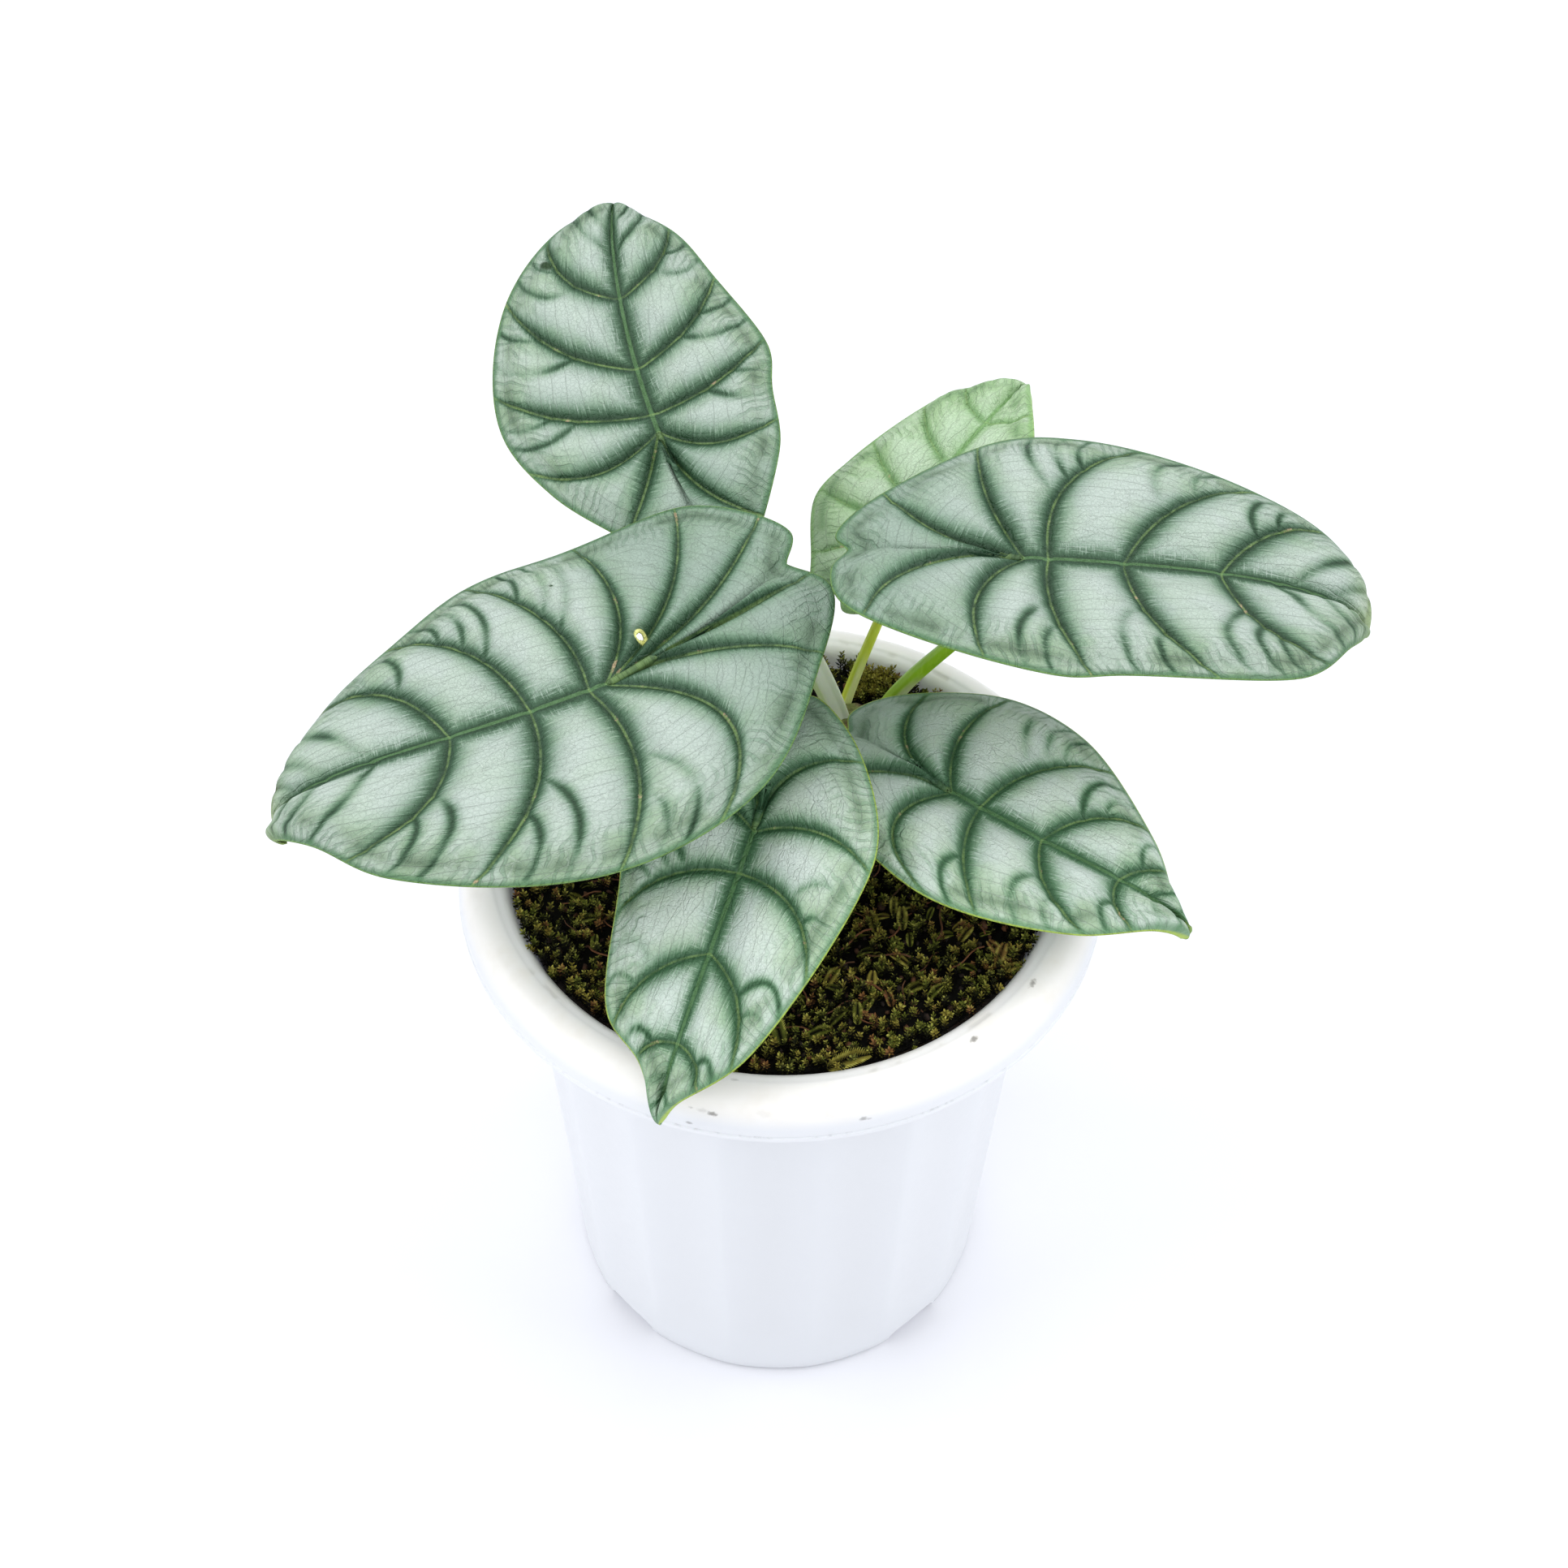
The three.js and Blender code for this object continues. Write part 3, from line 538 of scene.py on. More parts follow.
def moulded_polypropylene(sizes):
    """White satin polypropylene: soft broad highlights, the grime of a pot in use, and painted light and
    shade.
    """
    finish = Finish("moulded_white_polypropylene")
    place = finish.node("ShaderNodeTexCoord", output="Object")
    x, y, height = (finish.node("ShaderNodeSeparateXYZ", {0: place}, axis) for axis in "XYZ")
    level = finish.node("ShaderNodeCombineXYZ", {0: x, 1: y})
    radius = finish.node("ShaderNodeVectorMath", {0: level}, "Value", operation="LENGTH")
    # clouds of 11 mm, patches of 2.4 mm and specks of 1.1 mm
    cloudy, patchy, speckled = place.grain(90), place.grain(420, 4), place.grain(900, 2)
    # brown-green stain above the soil, from watering
    inside = radius.fade(0.0692, 0.0670) * height.fade(0.1425, 0.1435)
    near_soil = height.fade(0.1446, 0.1434) * height.fade(0.1385, 0.1395)
    stain = near_soil * inside * patchy.fade(0.42, 0.62)
    # warm dust on the rim's top, a patchy dark line along its crease, and dark grime along its lower edge
    rim = height.fade(0.140, 0.1455)
    dust = rim * cloudy.fade(0.45, 0.75)
    crease = abs(radius - CREASE_RADIUS * MM).fade(0.0009, 0.0002) * (rim * cloudy.fade(0.56, 0.66))
    off_lip = abs(height - (LIP_BOTTOM + 1.7) * MM)
    lip = off_lip.fade(0.0006, 0.0001) * patchy.fade(0.5, 0.7) * radius.fade(0.0745, 0.075)
    # painted shade: a grey tone in the recesses behind the foot's notches
    recess_shade = radius.fade(0.0496, 0.0490) * height.fade(0.0042, 0.0036)
    marks = rim_marks(finish, place, speckled.fade(0.3, 0.7, -0.25, 0.25))
    # painted light: the rim and the inside are painted whiter than the body to lift the shade they sit in;
    # the rim also takes a warmer tint
    colour = blend(rim, sizes.colour, "F6F4EE")
    colour = blend(inside, colour, "FBFAF6")
    colour = blend(dust * 0.22, colour, "D9D0BC")
    colour = blend(stain * 0.3, colour, "A89B7C")
    colour = blend(recess_shade * 0.7, colour, "9A9CAC")
    colour = blend(most(crease * 0.15, lip * 0.22, marks), colour, "4A443A")
    return finish.done({
        "Base Color": colour, "Roughness": patchy.fade(0.2, 0.8, 0.3, 0.42), "IOR": 1.49,
        "Subsurface Weight": 0.35, "Subsurface Radius": (1, 1, 1), "Subsurface Scale": 0.004,
        # flow lines of the mould, too faint to see but for the way that they soften highlights
        "Normal": finish.node("ShaderNodeBump", {"Height": patchy, "Strength": 0.25, "Distance": 0.0001}),
    })


# Soil
def soil_height(x, y):
    share = np.hypot(x, y) / SOIL_RADIUS
    return SOIL_EDGE + SOIL_CROWN * (1 - share * share)


def hummock(x, y):
    east = np.sin(0.23 * x + 1.2 * np.sin(0.11 * y))
    north = np.sin(0.21 * y + 1.4 * np.sin(0.13 * x + 1))
    return MOSS_HUMMOCK * (0.5 + 0.5 * east * north)


def ripple(x, y, size, seed):
    """Smooth noise over the ground, from -1 to 1, with lumps of a size in mm."""
    return np.array([noise.noise((px / size, py / size, seed)) for px, py in zip(x, y)])


def scatter(count, radius, rng):
    """Places spread evenly over the soil by the golden angle, each a little off its place."""
    number = np.arange(count) + 0.5
    distance = radius * np.sqrt(number / count) + rng.uniform(-0.6, 0.6, count)
    turn = number * GOLDEN_ANGLE + rng.uniform(-0.03, 0.03, count)
    return np.clip(distance, 0, radius) * np.sin(turn), -np.clip(distance, 0, radius) * np.cos(turn)


def off_corm(x, y, clear):
    return np.hypot(x - CORM_CENTRE[0], y - CORM_CENTRE[1]) > CORM_RADIUS + clear


def spots_of(x, y, z, sizes, tilts, turns):
    """Matrices that turn, tilt and size a small shape and set it at each place."""
    spots = []
    for place, size, tilt, turn in zip(zip(x, y, z), sizes, tilts, turns):
        pose = Matrix.Rotation(turn, 4, "Z") @ Matrix.Rotation(tilt, 4, "Y") @ Matrix.Diagonal((*size, 1))
        spots.append(np.array(Matrix.Translation(place) @ pose))
    return np.array(spots)


def moist_peat(sizes):
    """Moist peat and bark crumb: nearly black, matt, with a faint wet glint."""
    finish = Finish("moist_peat_and_bark")
    place = finish.node("ShaderNodeTexCoord", output="Object")
    # crumbs of 1.4 mm in clods of 8 mm
    crumb, clod = place.grain(700, 5, 0.7), place.grain(120, 3)
    colour = blend(crumb.fade(0.35, 0.7), "120B06", sizes.colour)
    colour = blend(clod.fade(0.55, 0.75, 0, 0.6), colour, "4B3A1E")
    tint = finish.node("ShaderNodeAttribute", output="Fac", attribute_name="tint")
    colour = blend(tint, colour, "8C5A34")
    return finish.done({
        "Base Color": colour, "Roughness": crumb.fade(0.3, 0.7, 0.55, 0.95),
        "Normal": finish.node("ShaderNodeBump", {"Height": crumb, "Strength": 0.8, "Distance": 0.0008}),
    })


def build_soil():
    """The growing mix: it fills the pot inside its wall, up to a slightly domed crumbly top."""
    sides = [[HEEL_INNER, 4.8], [50, 10.5], [body_radius(60) - 2.9, 60], [58.1, FLUTED_TO], [60.6, 136]]
    rings = [[radius, soil_height(radius, 0)] for radius in np.linspace(SOIL_RADIUS, 1.2, 70)]
    soil = add_turned("soil", [*sides, *rings], 180)
    places = vertex_places(soil)
    x, y = places[:, 0], places[:, 1]
    top = (places[:, 2] > SOIL_EDGE - 1.4) & (np.hypot(x, y) < SOIL_RADIUS - 1)
    lumps = 0.5 * ripple(x, y, 3.2, 4.0) + 0.3 * ripple(x, y, 1.3, 9.0)
    places[:, 2] += np.where(top, lumps - 0.25, 0)
    move_vertices(soil, places)
    add_values(soil, tint=np.zeros(len(places)))
    smooth(soil)
    return soil


def lie(count, rng, tilts):
    """Random tilts and turns for small pieces that lie on the ground."""
    return rng.uniform(*tilts, count), rng.uniform(0, ANY_TURN, count)


def build_crumbs(sizes):
    """Bark chips and clods lying on the soil, between the moss."""
    rng = np.random.default_rng(3)
    deselect_all()
    bpy.ops.mesh.primitive_ico_sphere_add(subdivisions=1, radius=1)
    chip = bpy.context.object
    vertices = np.array([v.co for v in chip.data.vertices]) * rng.uniform(0.75, 1.2, (12, 1))
    faces = [list(p.vertices) for p in chip.data.polygons]
    bpy.data.objects.remove(chip)
    x, y = scatter(sizes.crumbs, SOIL_RADIUS - 1.5, rng)
    count = len(x)
    z = soil_height(x, y) + MOSS_THICKNESS + 0.4 * hummock(x, y) + rng.uniform(-0.9, 0.5, count)
    size = rng.uniform(0.35, 1.05, (count, 3)) * rng.uniform(0.7, 1.5, (count, 1))
    spots = spots_of(x, y, z, size, *lie(count, rng, (0, 3)))
    tint = np.repeat(np.clip(rng.normal(0.1, 0.3, count), 0, 0.75), len(vertices))
    return repeat_shape("bark_crumbs", vertices, faces, spots, tint=tint)


def twig_shape(steps=7, sides=4):
    """A thin bent stick of unit length, lying along X."""
    vertices = []
    for along in np.linspace(-0.5, 0.5, steps):
        for turn in np.arange(sides) * 2 * math.pi / sides:
            beside = 0.03 * math.cos(turn) + 0.12 * math.sin(5 * along)
            above = 0.03 * math.sin(turn) + 0.1 * (0.25 - along * along)
            vertices.append([along, beside, above])
    faces = []
    for ring in range(0, (steps - 1) * sides, sides):
        for k in range(sides):
            after = (k + 1) % sides
            faces.append([ring + k, ring + after, ring + sides + after, ring + sides + k])
    ends = [[3, 2, 1, 0], [(steps - 1) * sides + k for k in range(sides)]]
    return np.array(vertices), faces + ends


def build_twigs(sizes):
    """Thin reddish roots and twigs lying over the moss."""
    rng = np.random.default_rng(8)
    vertices, faces = twig_shape()
    x, y = scatter(sizes.twigs, SOIL_RADIUS - 8, rng)
    count = len(x)
    z = soil_height(x, y) + MOSS_THICKNESS + hummock(x, y) + rng.uniform(0.4, 1.8, count)
    length = rng.uniform(5, 12, count)
    size = np.stack([length, length * 0.8, length * 0.8], axis=1)
    spots = spots_of(x, y, z, size, *lie(count, rng, (-0.2, 0.2)))
    tint = np.repeat(rng.uniform(0.3, 0.9, count), len(vertices))
    return repeat_shape("twigs", vertices, faces, spots, tint=tint)


# Moss
def living_moss(sizes):
    """Moss leaves one cell thick: dull, a little see-through, brightest at the growing tips."""
    finish = Finish("living_moss")
    tint = finish.node("ShaderNodeAttribute", output="Fac", attribute_name="tint")
    tip = finish.node("ShaderNodeAttribute", output="Fac", attribute_name="tip")
    fresh = blend(tint.fade(0.35, 0.72), sizes.colour, "9C8F3C")
    worn = blend(tint.fade(0.76, 0.86), fresh, "8A5F36")
    # painted shade: low tint gives a shaded near-black moss, and low tip values (shoot bases, the mat) go
    # near black
    shaded = blend(tint.fade(0.02, 0.3), "1E220A", worn)
    colour = blend(tip.fade(0.35, 1.0), "080703", shaded)
    # painted highlights on single leaf tips, 1.4 mm apart
    place = finish.node("ShaderNodeTexCoord", output="Object")
    lit = place.grain(700, 2).fade(0.45, 0.65, 0, 0.8) * tip.fade(0.6, 1.0)
    return finish.done({
        "Base Color": blend(lit, colour, "CBC862"), "Roughness": 0.75, "Specular IOR Level": 0.15,
        "Subsurface Weight": 0.1, "Subsurface Radius": (0.6, 1, 0.2), "Subsurface Scale": 0.0005,
    })


def build_moss_mat():
    radii = np.linspace(SOIL_RADIUS - 0.3, 1.2, 64)
    profile = [[SOIL_RADIUS - 0.5, soil_height(SOIL_RADIUS, 0) + SEAT_GAP]]
    profile += [[radius, soil_height(radius, 0) + 1.4] for radius in radii]
    mat = add_turned("moss", profile, 160)
    places = vertex_places(mat)
    x, y = places[:, 0], places[:, 1]
    top = places[:, 2] > soil_height(x, y) + 0.8
    edge = np.clip((SOIL_RADIUS - np.hypot(x, y)) / 1.5, 0, 1)
    lumps = 0.6 * hummock(x, y) + 0.7 * ripple(x, y, 4, 2.0) + 0.4 * ripple(x, y, 1.6, 5.0)
    places[:, 2] += top * edge * (lumps - 0.3)
    move_vertices(mat, places)
    # low tip values paint most of the mat near black, as painted shade between the shoots
    add_values(mat, tint=np.clip(0.25 + 0.3 * ripple(x, y, 5, 12.0), 0, 1),
               tip=np.clip(0.12 + 0.35 * ripple(x, y, 1.2, 3.0), 0, 1))
    smooth(mat)
    return mat


def add_leaflet(shape, corners, tips):
    """Adds a leaflet of two triangles to a shape's vertices, faces and tip values."""
    start = len(shape[0])
    shape[0].extend(corners)
    shape[1].extend([[start, start + 1, start + 2], [start, start + 2, start + 3]])
    shape[2].extend(tips)


def shoot_shape(whorls=7, leaves=3):
    """One upright shoot of unit height: whorls of pointed leaflets, shorter towards its top."""
    shape = ([], [], [])
    for whorl in range(whorls):
        height = 0.12 + 0.8 * whorl / (whorls - 1)
        length = 0.46 * (1 - 0.45 * height)
        rise = Vector((0, 0, length * (0.35 + 0.6 * height)))
        root = Vector((0.1 * height * height, 0, height))
        for leaf in range(leaves):
            turn = leaf * 2 * math.pi / leaves + whorl * 1.1
            out = Vector((math.cos(turn), math.sin(turn), 0)) * length
            beside = Vector((-math.sin(turn), math.cos(turn), 0)) * 0.085
            middle = root + out * 0.5 + rise * 0.5
            # tip values rise up the shoot; the moss finish paints the low ones dark as painted shade
            add_leaflet(shape, [root, middle + beside, root + out + rise * 0.75, middle - beside],
                        [height * 0.7, height * 0.85, min(1, height * 0.9 + 0.25), height * 0.85])
    return tuple(np.array(part) for part in shape)


def frond_shape(pairs=17):
    """One flat feathery frond of unit length, lying along X with its leaflets in two rows."""
    shape = ([], [], [])
    for pair in range(pairs):
        along = 0.06 + 0.9 * pair / (pairs - 1)
        length = 0.2 * math.sin(math.pi * (0.2 + 0.75 * along)) + 0.05
        for side in (-1, 1):
            root = Vector((along, 0, 0.12 * math.sin(math.pi * along)))
            end = root + Vector((0.9 * length, side * length, 0.03))
            width = Vector((0.026, -side * 0.012, 0.01))
            middle = (root + end) / 2
            add_leaflet(shape, [root, middle + width, end, middle - width], [0.5, 0.75, 1, 0.75])
    return tuple(np.array(part) for part in shape)


def moss_level(x, y):
    return soil_height(x, y) + MOSS_THICKNESS + 0.6 * hummock(x, y)


# Tall tufts of shoots: [x, y, radius, count, height, tint]
TUFTS = [
    [20, 52.5, 4.5, 90, 6.6, 0.6], [24.5, 53.5, 3, 40, 7.2, 0.66], [50, -32, 4, 60, 3.6, 0.82],
    [-24, -50, 5, 60, 4.6, 0.45],
]


def build_moss_shoots(sizes):
    """Thousands of small upright shoots in clumps, with dark gaps between the clumps."""
    rng = np.random.default_rng(5)
    vertices, faces, tips = shoot_shape()
    x, y = scatter(sizes.shoots, SOIL_RADIUS + 0.9, rng)
    clump = ripple(x, y, 5.5, 7.0) + 0.5 * ripple(x, y, 2.2, 21.0)
    clump = np.maximum(clump, 0.3 - np.maximum(SOIL_RADIUS - np.hypot(x, y), 0) / 9)
    kept = off_corm(x, y, 0.8) & (clump + rng.uniform(-0.22, 0.22, len(x)) > -0.16)
    x, y, clump = x[kept], y[kept], clump[kept]
    height = rng.uniform(2.6, 4.8, len(x)) * (1 + 0.5 * np.clip(clump, -0.4, 0.8))
    tint = np.clip(0.42 + 0.6 * ripple(x, y, 9, 31.0) + rng.normal(0, 0.26, len(x)), 0, 1)
    for middle_x, middle_y, radius, number, tall, shade in TUFTS:
        away, turn = radius * np.sqrt(rng.uniform(0, 1, number)), rng.uniform(0, ANY_TURN, number)
        x = np.append(x, middle_x + away * np.cos(turn))
        y = np.append(y, middle_y + away * np.sin(turn))
        height = np.append(height, tall * (1 - 0.4 * away / radius) * rng.uniform(0.8, 1.1, number))
        tint = np.append(tint, np.clip(shade + rng.normal(0, 0.06, number), 0, 1))
    count = len(x)
    width = np.minimum(height, 4.2) * rng.uniform(0.55, 0.95, count)
    size = np.stack([width, width, height], axis=1)
    z = moss_level(x, y) - 1.2 + rng.uniform(-0.3, 0.3, count)
    spots = spots_of(x, y, z, size, *lie(count, rng, (-0.6, 0.6)))
    return repeat_shape("moss_shoots", vertices, faces, spots,
                        tint=np.repeat(tint, len(vertices)), tip=np.tile(tips, count))


# Fronds that stand out: [x, y, length, turn, tilt, tint]
NAMED_FRONDS = [
    [10, -62, 10.5, 0.33, -0.12, 0.62], [1, -56, 8, 1.9, -0.3, 0.3], [-3, -53, 7, 2.6, -0.3, 0.35],
    [49, -33, 6, 1.2, -0.5, 0.82], [51, -31, 6, 2.3, -0.4, 0.84], [50, -34, 5, 0.2, -0.3, 0.8],
]


def build_moss_fronds(sizes):
    """Feathery creeping fronds lying over the shoots."""
    rng = np.random.default_rng(11)
    vertices, faces, tips = frond_shape()
    x, y = scatter(sizes.fronds, SOIL_RADIUS - 8, rng)
    kept = off_corm(x, y, 3)
    x, y = x[kept], y[kept]
    count = len(x)
    length = rng.uniform(3, 6.5, count)
    tilt, turn = lie(count, rng, (-0.7, -0.05))
    tint = np.clip(0.4 + 0.5 * ripple(x, y, 9, 31.0) + rng.normal(0, 0.2, count), 0, 1)
    scattered = np.stack([x, y, length, turn, tilt, tint], axis=1)
    x, y, length, turn, tilt, tint = np.concatenate([scattered, NAMED_FRONDS]).T
    z = moss_level(x, y) + 0.4
    spots = spots_of(x, y, z, np.repeat(length[:, None], 3, axis=1), tilt, turn)
    return repeat_shape("moss_fronds", vertices, faces, spots,
                        tint=np.repeat(tint, len(vertices)), tip=np.tile(tips, len(x)))


# Leaf shape
def bent_midrib(leaf):
    """The midrib's slope, heading and place at a distance from the attachment."""
    reach = leaf["reach"]
    distances = np.linspace(leaf["notch"] * 1.5, reach * 1.05, SPINE_STEPS + 1)

    def slope(x):
        u = x / reach
        front = -(leaf["droop"] * u + leaf["tip_droop"] * u ** 3 + leaf["hook"] * u ** HOOK_POWER)
        return np.radians(np.where(u > 0, front, -leaf["back_droop"] * u))

    def heading(x):
        return np.radians(leaf["sweep"] * x / reach)

    middles = (distances[1:] + distances[:-1]) / 2
    pitch, course = slope(middles), heading(middles)
    steps = np.stack([np.cos(pitch) * np.cos(course), np.cos(pitch) * np.sin(course), np.sin(pitch)])
    places = np.concatenate([np.zeros((3, 1)), np.cumsum(steps * np.diff(distances), axis=1)], axis=1)

    def place(x):
        return np.stack([np.interp(x, distances, axis) - np.interp(0, distances, axis) for axis in places])

    return slope, heading, place


def leaf_turn(leaf):
    angles = (("Z", leaf["yaw"]), ("Y", -leaf["pitch"]), ("X", leaf["roll"]))
    turns = [Matrix.Rotation(math.radians(angle), 3, axis) for axis, angle in angles]
    return np.array(turns[0] @ turns[1] @ turns[2])


def bend_leaf(leaf, x, y, lift):
    """Bends flat points of a leaf, lifted off its face, to their places on the plant."""
    slope_of, heading_of, place_of = bent_midrib(leaf)
    side = np.sign(y)
    curl = np.radians(np.where(side > 0, leaf["curl"][0], leaf["curl"][1])) / (0.5 * leaf["reach"])
    valley = math.radians(leaf["valley"])
    tilt = valley - curl * np.abs(y)
    across = side * (math.sin(valley) - np.sin(tilt)) / curl - side * np.sin(tilt) * lift
    up = (np.cos(tilt) - math.cos(valley)) / curl + np.cos(tilt) * lift
    twist = np.radians(leaf["twist"]) * x / leaf["reach"]
    beside = across * np.cos(twist) - up * np.sin(twist)
    above = across * np.sin(twist) + up * np.cos(twist)
    slope, heading = slope_of(x), heading_of(x)
    offset = np.stack([
        -np.sin(heading) * beside - np.sin(slope) * np.cos(heading) * above,
        np.cos(heading) * beside - np.sin(slope) * np.sin(heading) * above,
        np.cos(slope) * above,
    ])
    bent = np.moveaxis(place_of(x) + offset, 0, -1)
    return bent @ leaf_turn(leaf).T + np.array(leaf["attach"])


def margin_line(leaf, side):
    """Points along one side's margin from the tip to the notch."""
    sign = LEAF_SIGNS[side]
    corners = [[leaf["notch"], 0]] + [[x, sign * width] for x, width in leaf[side]] + [[leaf["reach"], 0]]
    return curve_through(corners[::-1], 60)


def along_line(line, share):
    """The points at shares of a line's length."""
    lengths = np.concatenate([[0], np.cumsum(np.linalg.norm(np.diff(line, axis=0), axis=1))])
    at = np.asarray(share) * lengths[-1]
    return np.stack([np.interp(at, lengths, line[:, 0]), np.interp(at, lengths, line[:, 1])], axis=-1)


def leaf_marks(leaf):
    """The lines that border a leaf's panels: its tip, its veins and the notch at its base."""
    rows = [[leaf["reach"], 0, 0, 0, 0], *leaf["veins"], [0, 1, 0, 1, 0]]
    return [
        {"from": start, "left": (left, left_bow), "right": (right, right_bow)}
        for start, left, left_bow, right, right_bow in rows]


def row_points(leaf, side, margin, panel, phase, share):
    """Flat points on rows that swing from one vein to the next, at shares of the way to the margin."""
    marks = leaf_marks(leaf)
    panel, phase, share = np.broadcast_arrays(panel, phase, share)

    def between(values):
        values = np.array(values, float)
        return values[panel] + (values[panel + 1] - values[panel]) * phase

    start = np.stack([between([m["from"] for m in marks]), np.zeros(panel.shape)], axis=-1)
    end = along_line(margin, between([m[side][0] for m in marks]))
    bow = between([m[side][1] for m in marks])
    chord = end - start
    back = np.stack([-chord[..., 1], chord[..., 0]], axis=-1) * (LEAF_SIGNS[side] * 2 * bow)[..., None]
    control = (start + end) / 2 + back
    t = share[..., None]
    return (1 - t) ** 2 * start + 2 * t * (1 - t) * control + t ** 2 * end


def nearest(line, points):
    """The distance from each flat point to a line of closely spaced points."""
    gaps = points[..., None, :] - line
    return np.sqrt((gaps ** 2).sum(axis=-1).min(axis=-1))


def line_length(line):
    return np.linalg.norm(np.diff(line, axis=0), axis=1).sum()


def branch_lines(leaf, side, margin, panel, rng):
    """Side veins: most leave the vein nearer the tip, arch over the panel and run out to the
    margin. In the panel at the tip they leave the midrib instead, like small main veins."""
    marks = leaf_marks(leaf)
    if marks[panel]["from"] == 0:
        return np.full((1, 2), FAR * 10)  # the lobes have none
    width = (marks[panel + 1][side][0] - marks[panel][side][0]) * line_length(margin)
    count = 1 + (width > 15) + (width > 30)
    t = np.linspace(0, 1, 160)
    lines = []
    for number in range(count):
        share = (number + 0.5) / count + rng.uniform(-0.06, 0.06)
        leave, reach = 0.3 + 0.44 * share, 0.78 - 0.6 * share
        phase = reach * (1 - (1 - t) ** 2)
        along = leave + (0.97 - leave) * t ** 1.15
        if panel == 0:
            phase, along = 0.25 + 0.5 * share + 0 * t, 0.96 * t
        lines.append(row_points(leaf, side, margin, panel, phase, along))
    return np.concatenate(lines)


def leaf_rows(leaf, spacing):
    """The panel and the phase within it of each row, from the tip to the notch."""
    marks = leaf_marks(leaf)
    lengths = {side: line_length(margin_line(leaf, side)) for side in LEAF_SIGNS}
    panels, phases = [], []
    for panel, (here, there) in enumerate(zip(marks, marks[1:])):
        span = max((there[side][0] - here[side][0]) * lengths[side] for side in LEAF_SIGNS)
        steps = max(6, math.ceil(span / spacing))
        panels += [panel] * steps
        phases += list(np.arange(steps) / steps)
    return np.array(panels + [len(marks) - 2]), np.array(phases + [1.0])


def side_tables(leaf, side, panels, phases, shares, rng):
    """One side's flat points, and for each its distances: to the vein behind it, to the vein
    ahead, out from the midrib, to the margin and to the nearest side vein. The distances come
    twice, because a row on a vein borders two panels: as seen from the row before it and after."""
    margin = margin_line(leaf, side)
    points = row_points(leaf, side, margin, panels[:, None], phases[:, None], shares[None, :])
    steps = np.linalg.norm(np.diff(points, axis=1), axis=2)
    along = np.concatenate([np.zeros((len(panels), 1)), np.cumsum(steps, axis=1)], axis=1)
    fine = np.linspace(0, 1, 300)
    edge = along_line(margin, np.linspace(0, 1, 900))
    last = panels.max()
    veins = [row_points(leaf, side, margin, min(k, last), float(k > last), fine) for k in range(last + 2)]
    branches = [branch_lines(leaf, side, margin, k, rng) for k in range(last + 1)]
    seen = []
    for owners in (np.append(panels[:1], panels[:-1]), panels):
        table = np.empty((*points.shape[:2], 5))
        table[..., 2] = along
        for k in range(last + 1):
            rows = owners == k
            table[rows, :, 0] = nearest(veins[min(k + 1, last)], points[rows])
            table[rows, :, 1] = FAR if k == 0 else nearest(veins[k], points[rows])
            table[rows, :, 3] = nearest(edge, points[rows])
            table[rows, :, 4] = nearest(branches[k], points[rows])
        seen.append(table)
    return points, seen


def ease(value):
    """From 0 to 1 with a soft start and end."""
    value = np.clip(value, 0, 1)
    return value * value * (3 - 2 * value)


def swell(distance, width):
    """1 on a line, fading to nothing over about twice the width."""
    return np.exp(-(distance / width) ** 2)


def leaf_relief(leaf, sizes, x, y, phases, shares, table):
    """How far each point of the upper face stands off the bent leaf: puffed panels between
    sunken veins, a corded midrib, grooves for the side veins and a margin that turns down."""
    behind, ahead, _, margin, branch = np.moveaxis(table, -1, 0)
    puffing = ease(shares / 0.3) * (1 - ease((shares - 0.75) / 0.25))
    panel = sizes.quilt / MM * (np.sin(math.pi * phases) ** 0.75)[:, None] * puffing
    turned = sizes.margin_turn / MM * np.clip((shares - MARGIN_FROM) / (1 - MARGIN_FROM), 0, 1) ** 2
    vein = np.minimum(behind, ahead)
    grooves = -0.5 * swell(vein, 1.1) + 0.2 * swell(vein, 0.35) - 0.45 * swell(branch, 0.95)
    grooves *= np.clip((margin - 0.5) / 3, 0, 1)
    hem = -0.35 * swell(margin - HEM_LINE, 1.3)
    rib_width = 0.5 + 0.75 * np.clip(1 - x / leaf["reach"], 0, 1)
    from_rib = rib_distance(x, y)
    rib = 0.5 * swell(from_rib, rib_width) - 0.35 * swell(from_rib, 2.6)
    rib *= np.clip((leaf["reach"] - x) / 8, 0, 1)
    return panel - turned + grooves + hem + rib


def blemish_shade(leaf, x, y):
    shade = np.zeros(x.shape)
    for along, beside, radius, strength in leaf["blemishes"]:
        away = np.hypot(x - along, y - beside) / radius
        shade = np.maximum(shade, strength * np.clip(1.6 - away, 0, 1))
    return shade


def hole_faces(leaf, flat):
    """Finds the faces inside a leaf's hole and snaps the points round it to its edge."""
    gone = np.zeros((flat.shape[0] - 1, flat.shape[1] - 1), bool)
    if "hole" not in leaf:
        return gone
    centre, radii = np.array(leaf["hole"]["at"]), np.array(leaf["hole"]["radii"])
    middles = (flat[:-1, :-1] + flat[1:, :-1] + flat[:-1, 1:] + flat[1:, 1:]) / 4
    gone = np.linalg.norm((middles - centre) / radii, axis=-1) < 1
    touched = np.zeros(flat.shape[:2], bool)
    kept = np.zeros(flat.shape[:2], bool)
    for down in (0, 1):
        for over in (0, 1):
            block = (slice(down, down + gone.shape[0]), slice(over, over + gone.shape[1]))
            touched[block] |= gone
            kept[block] |= ~gone
    rim = touched & kept
    direction = (flat[rim] - centre) / radii
    direction /= np.linalg.norm(direction, axis=-1, keepdims=True)
    flat[rim] = centre + direction * radii
    return gone


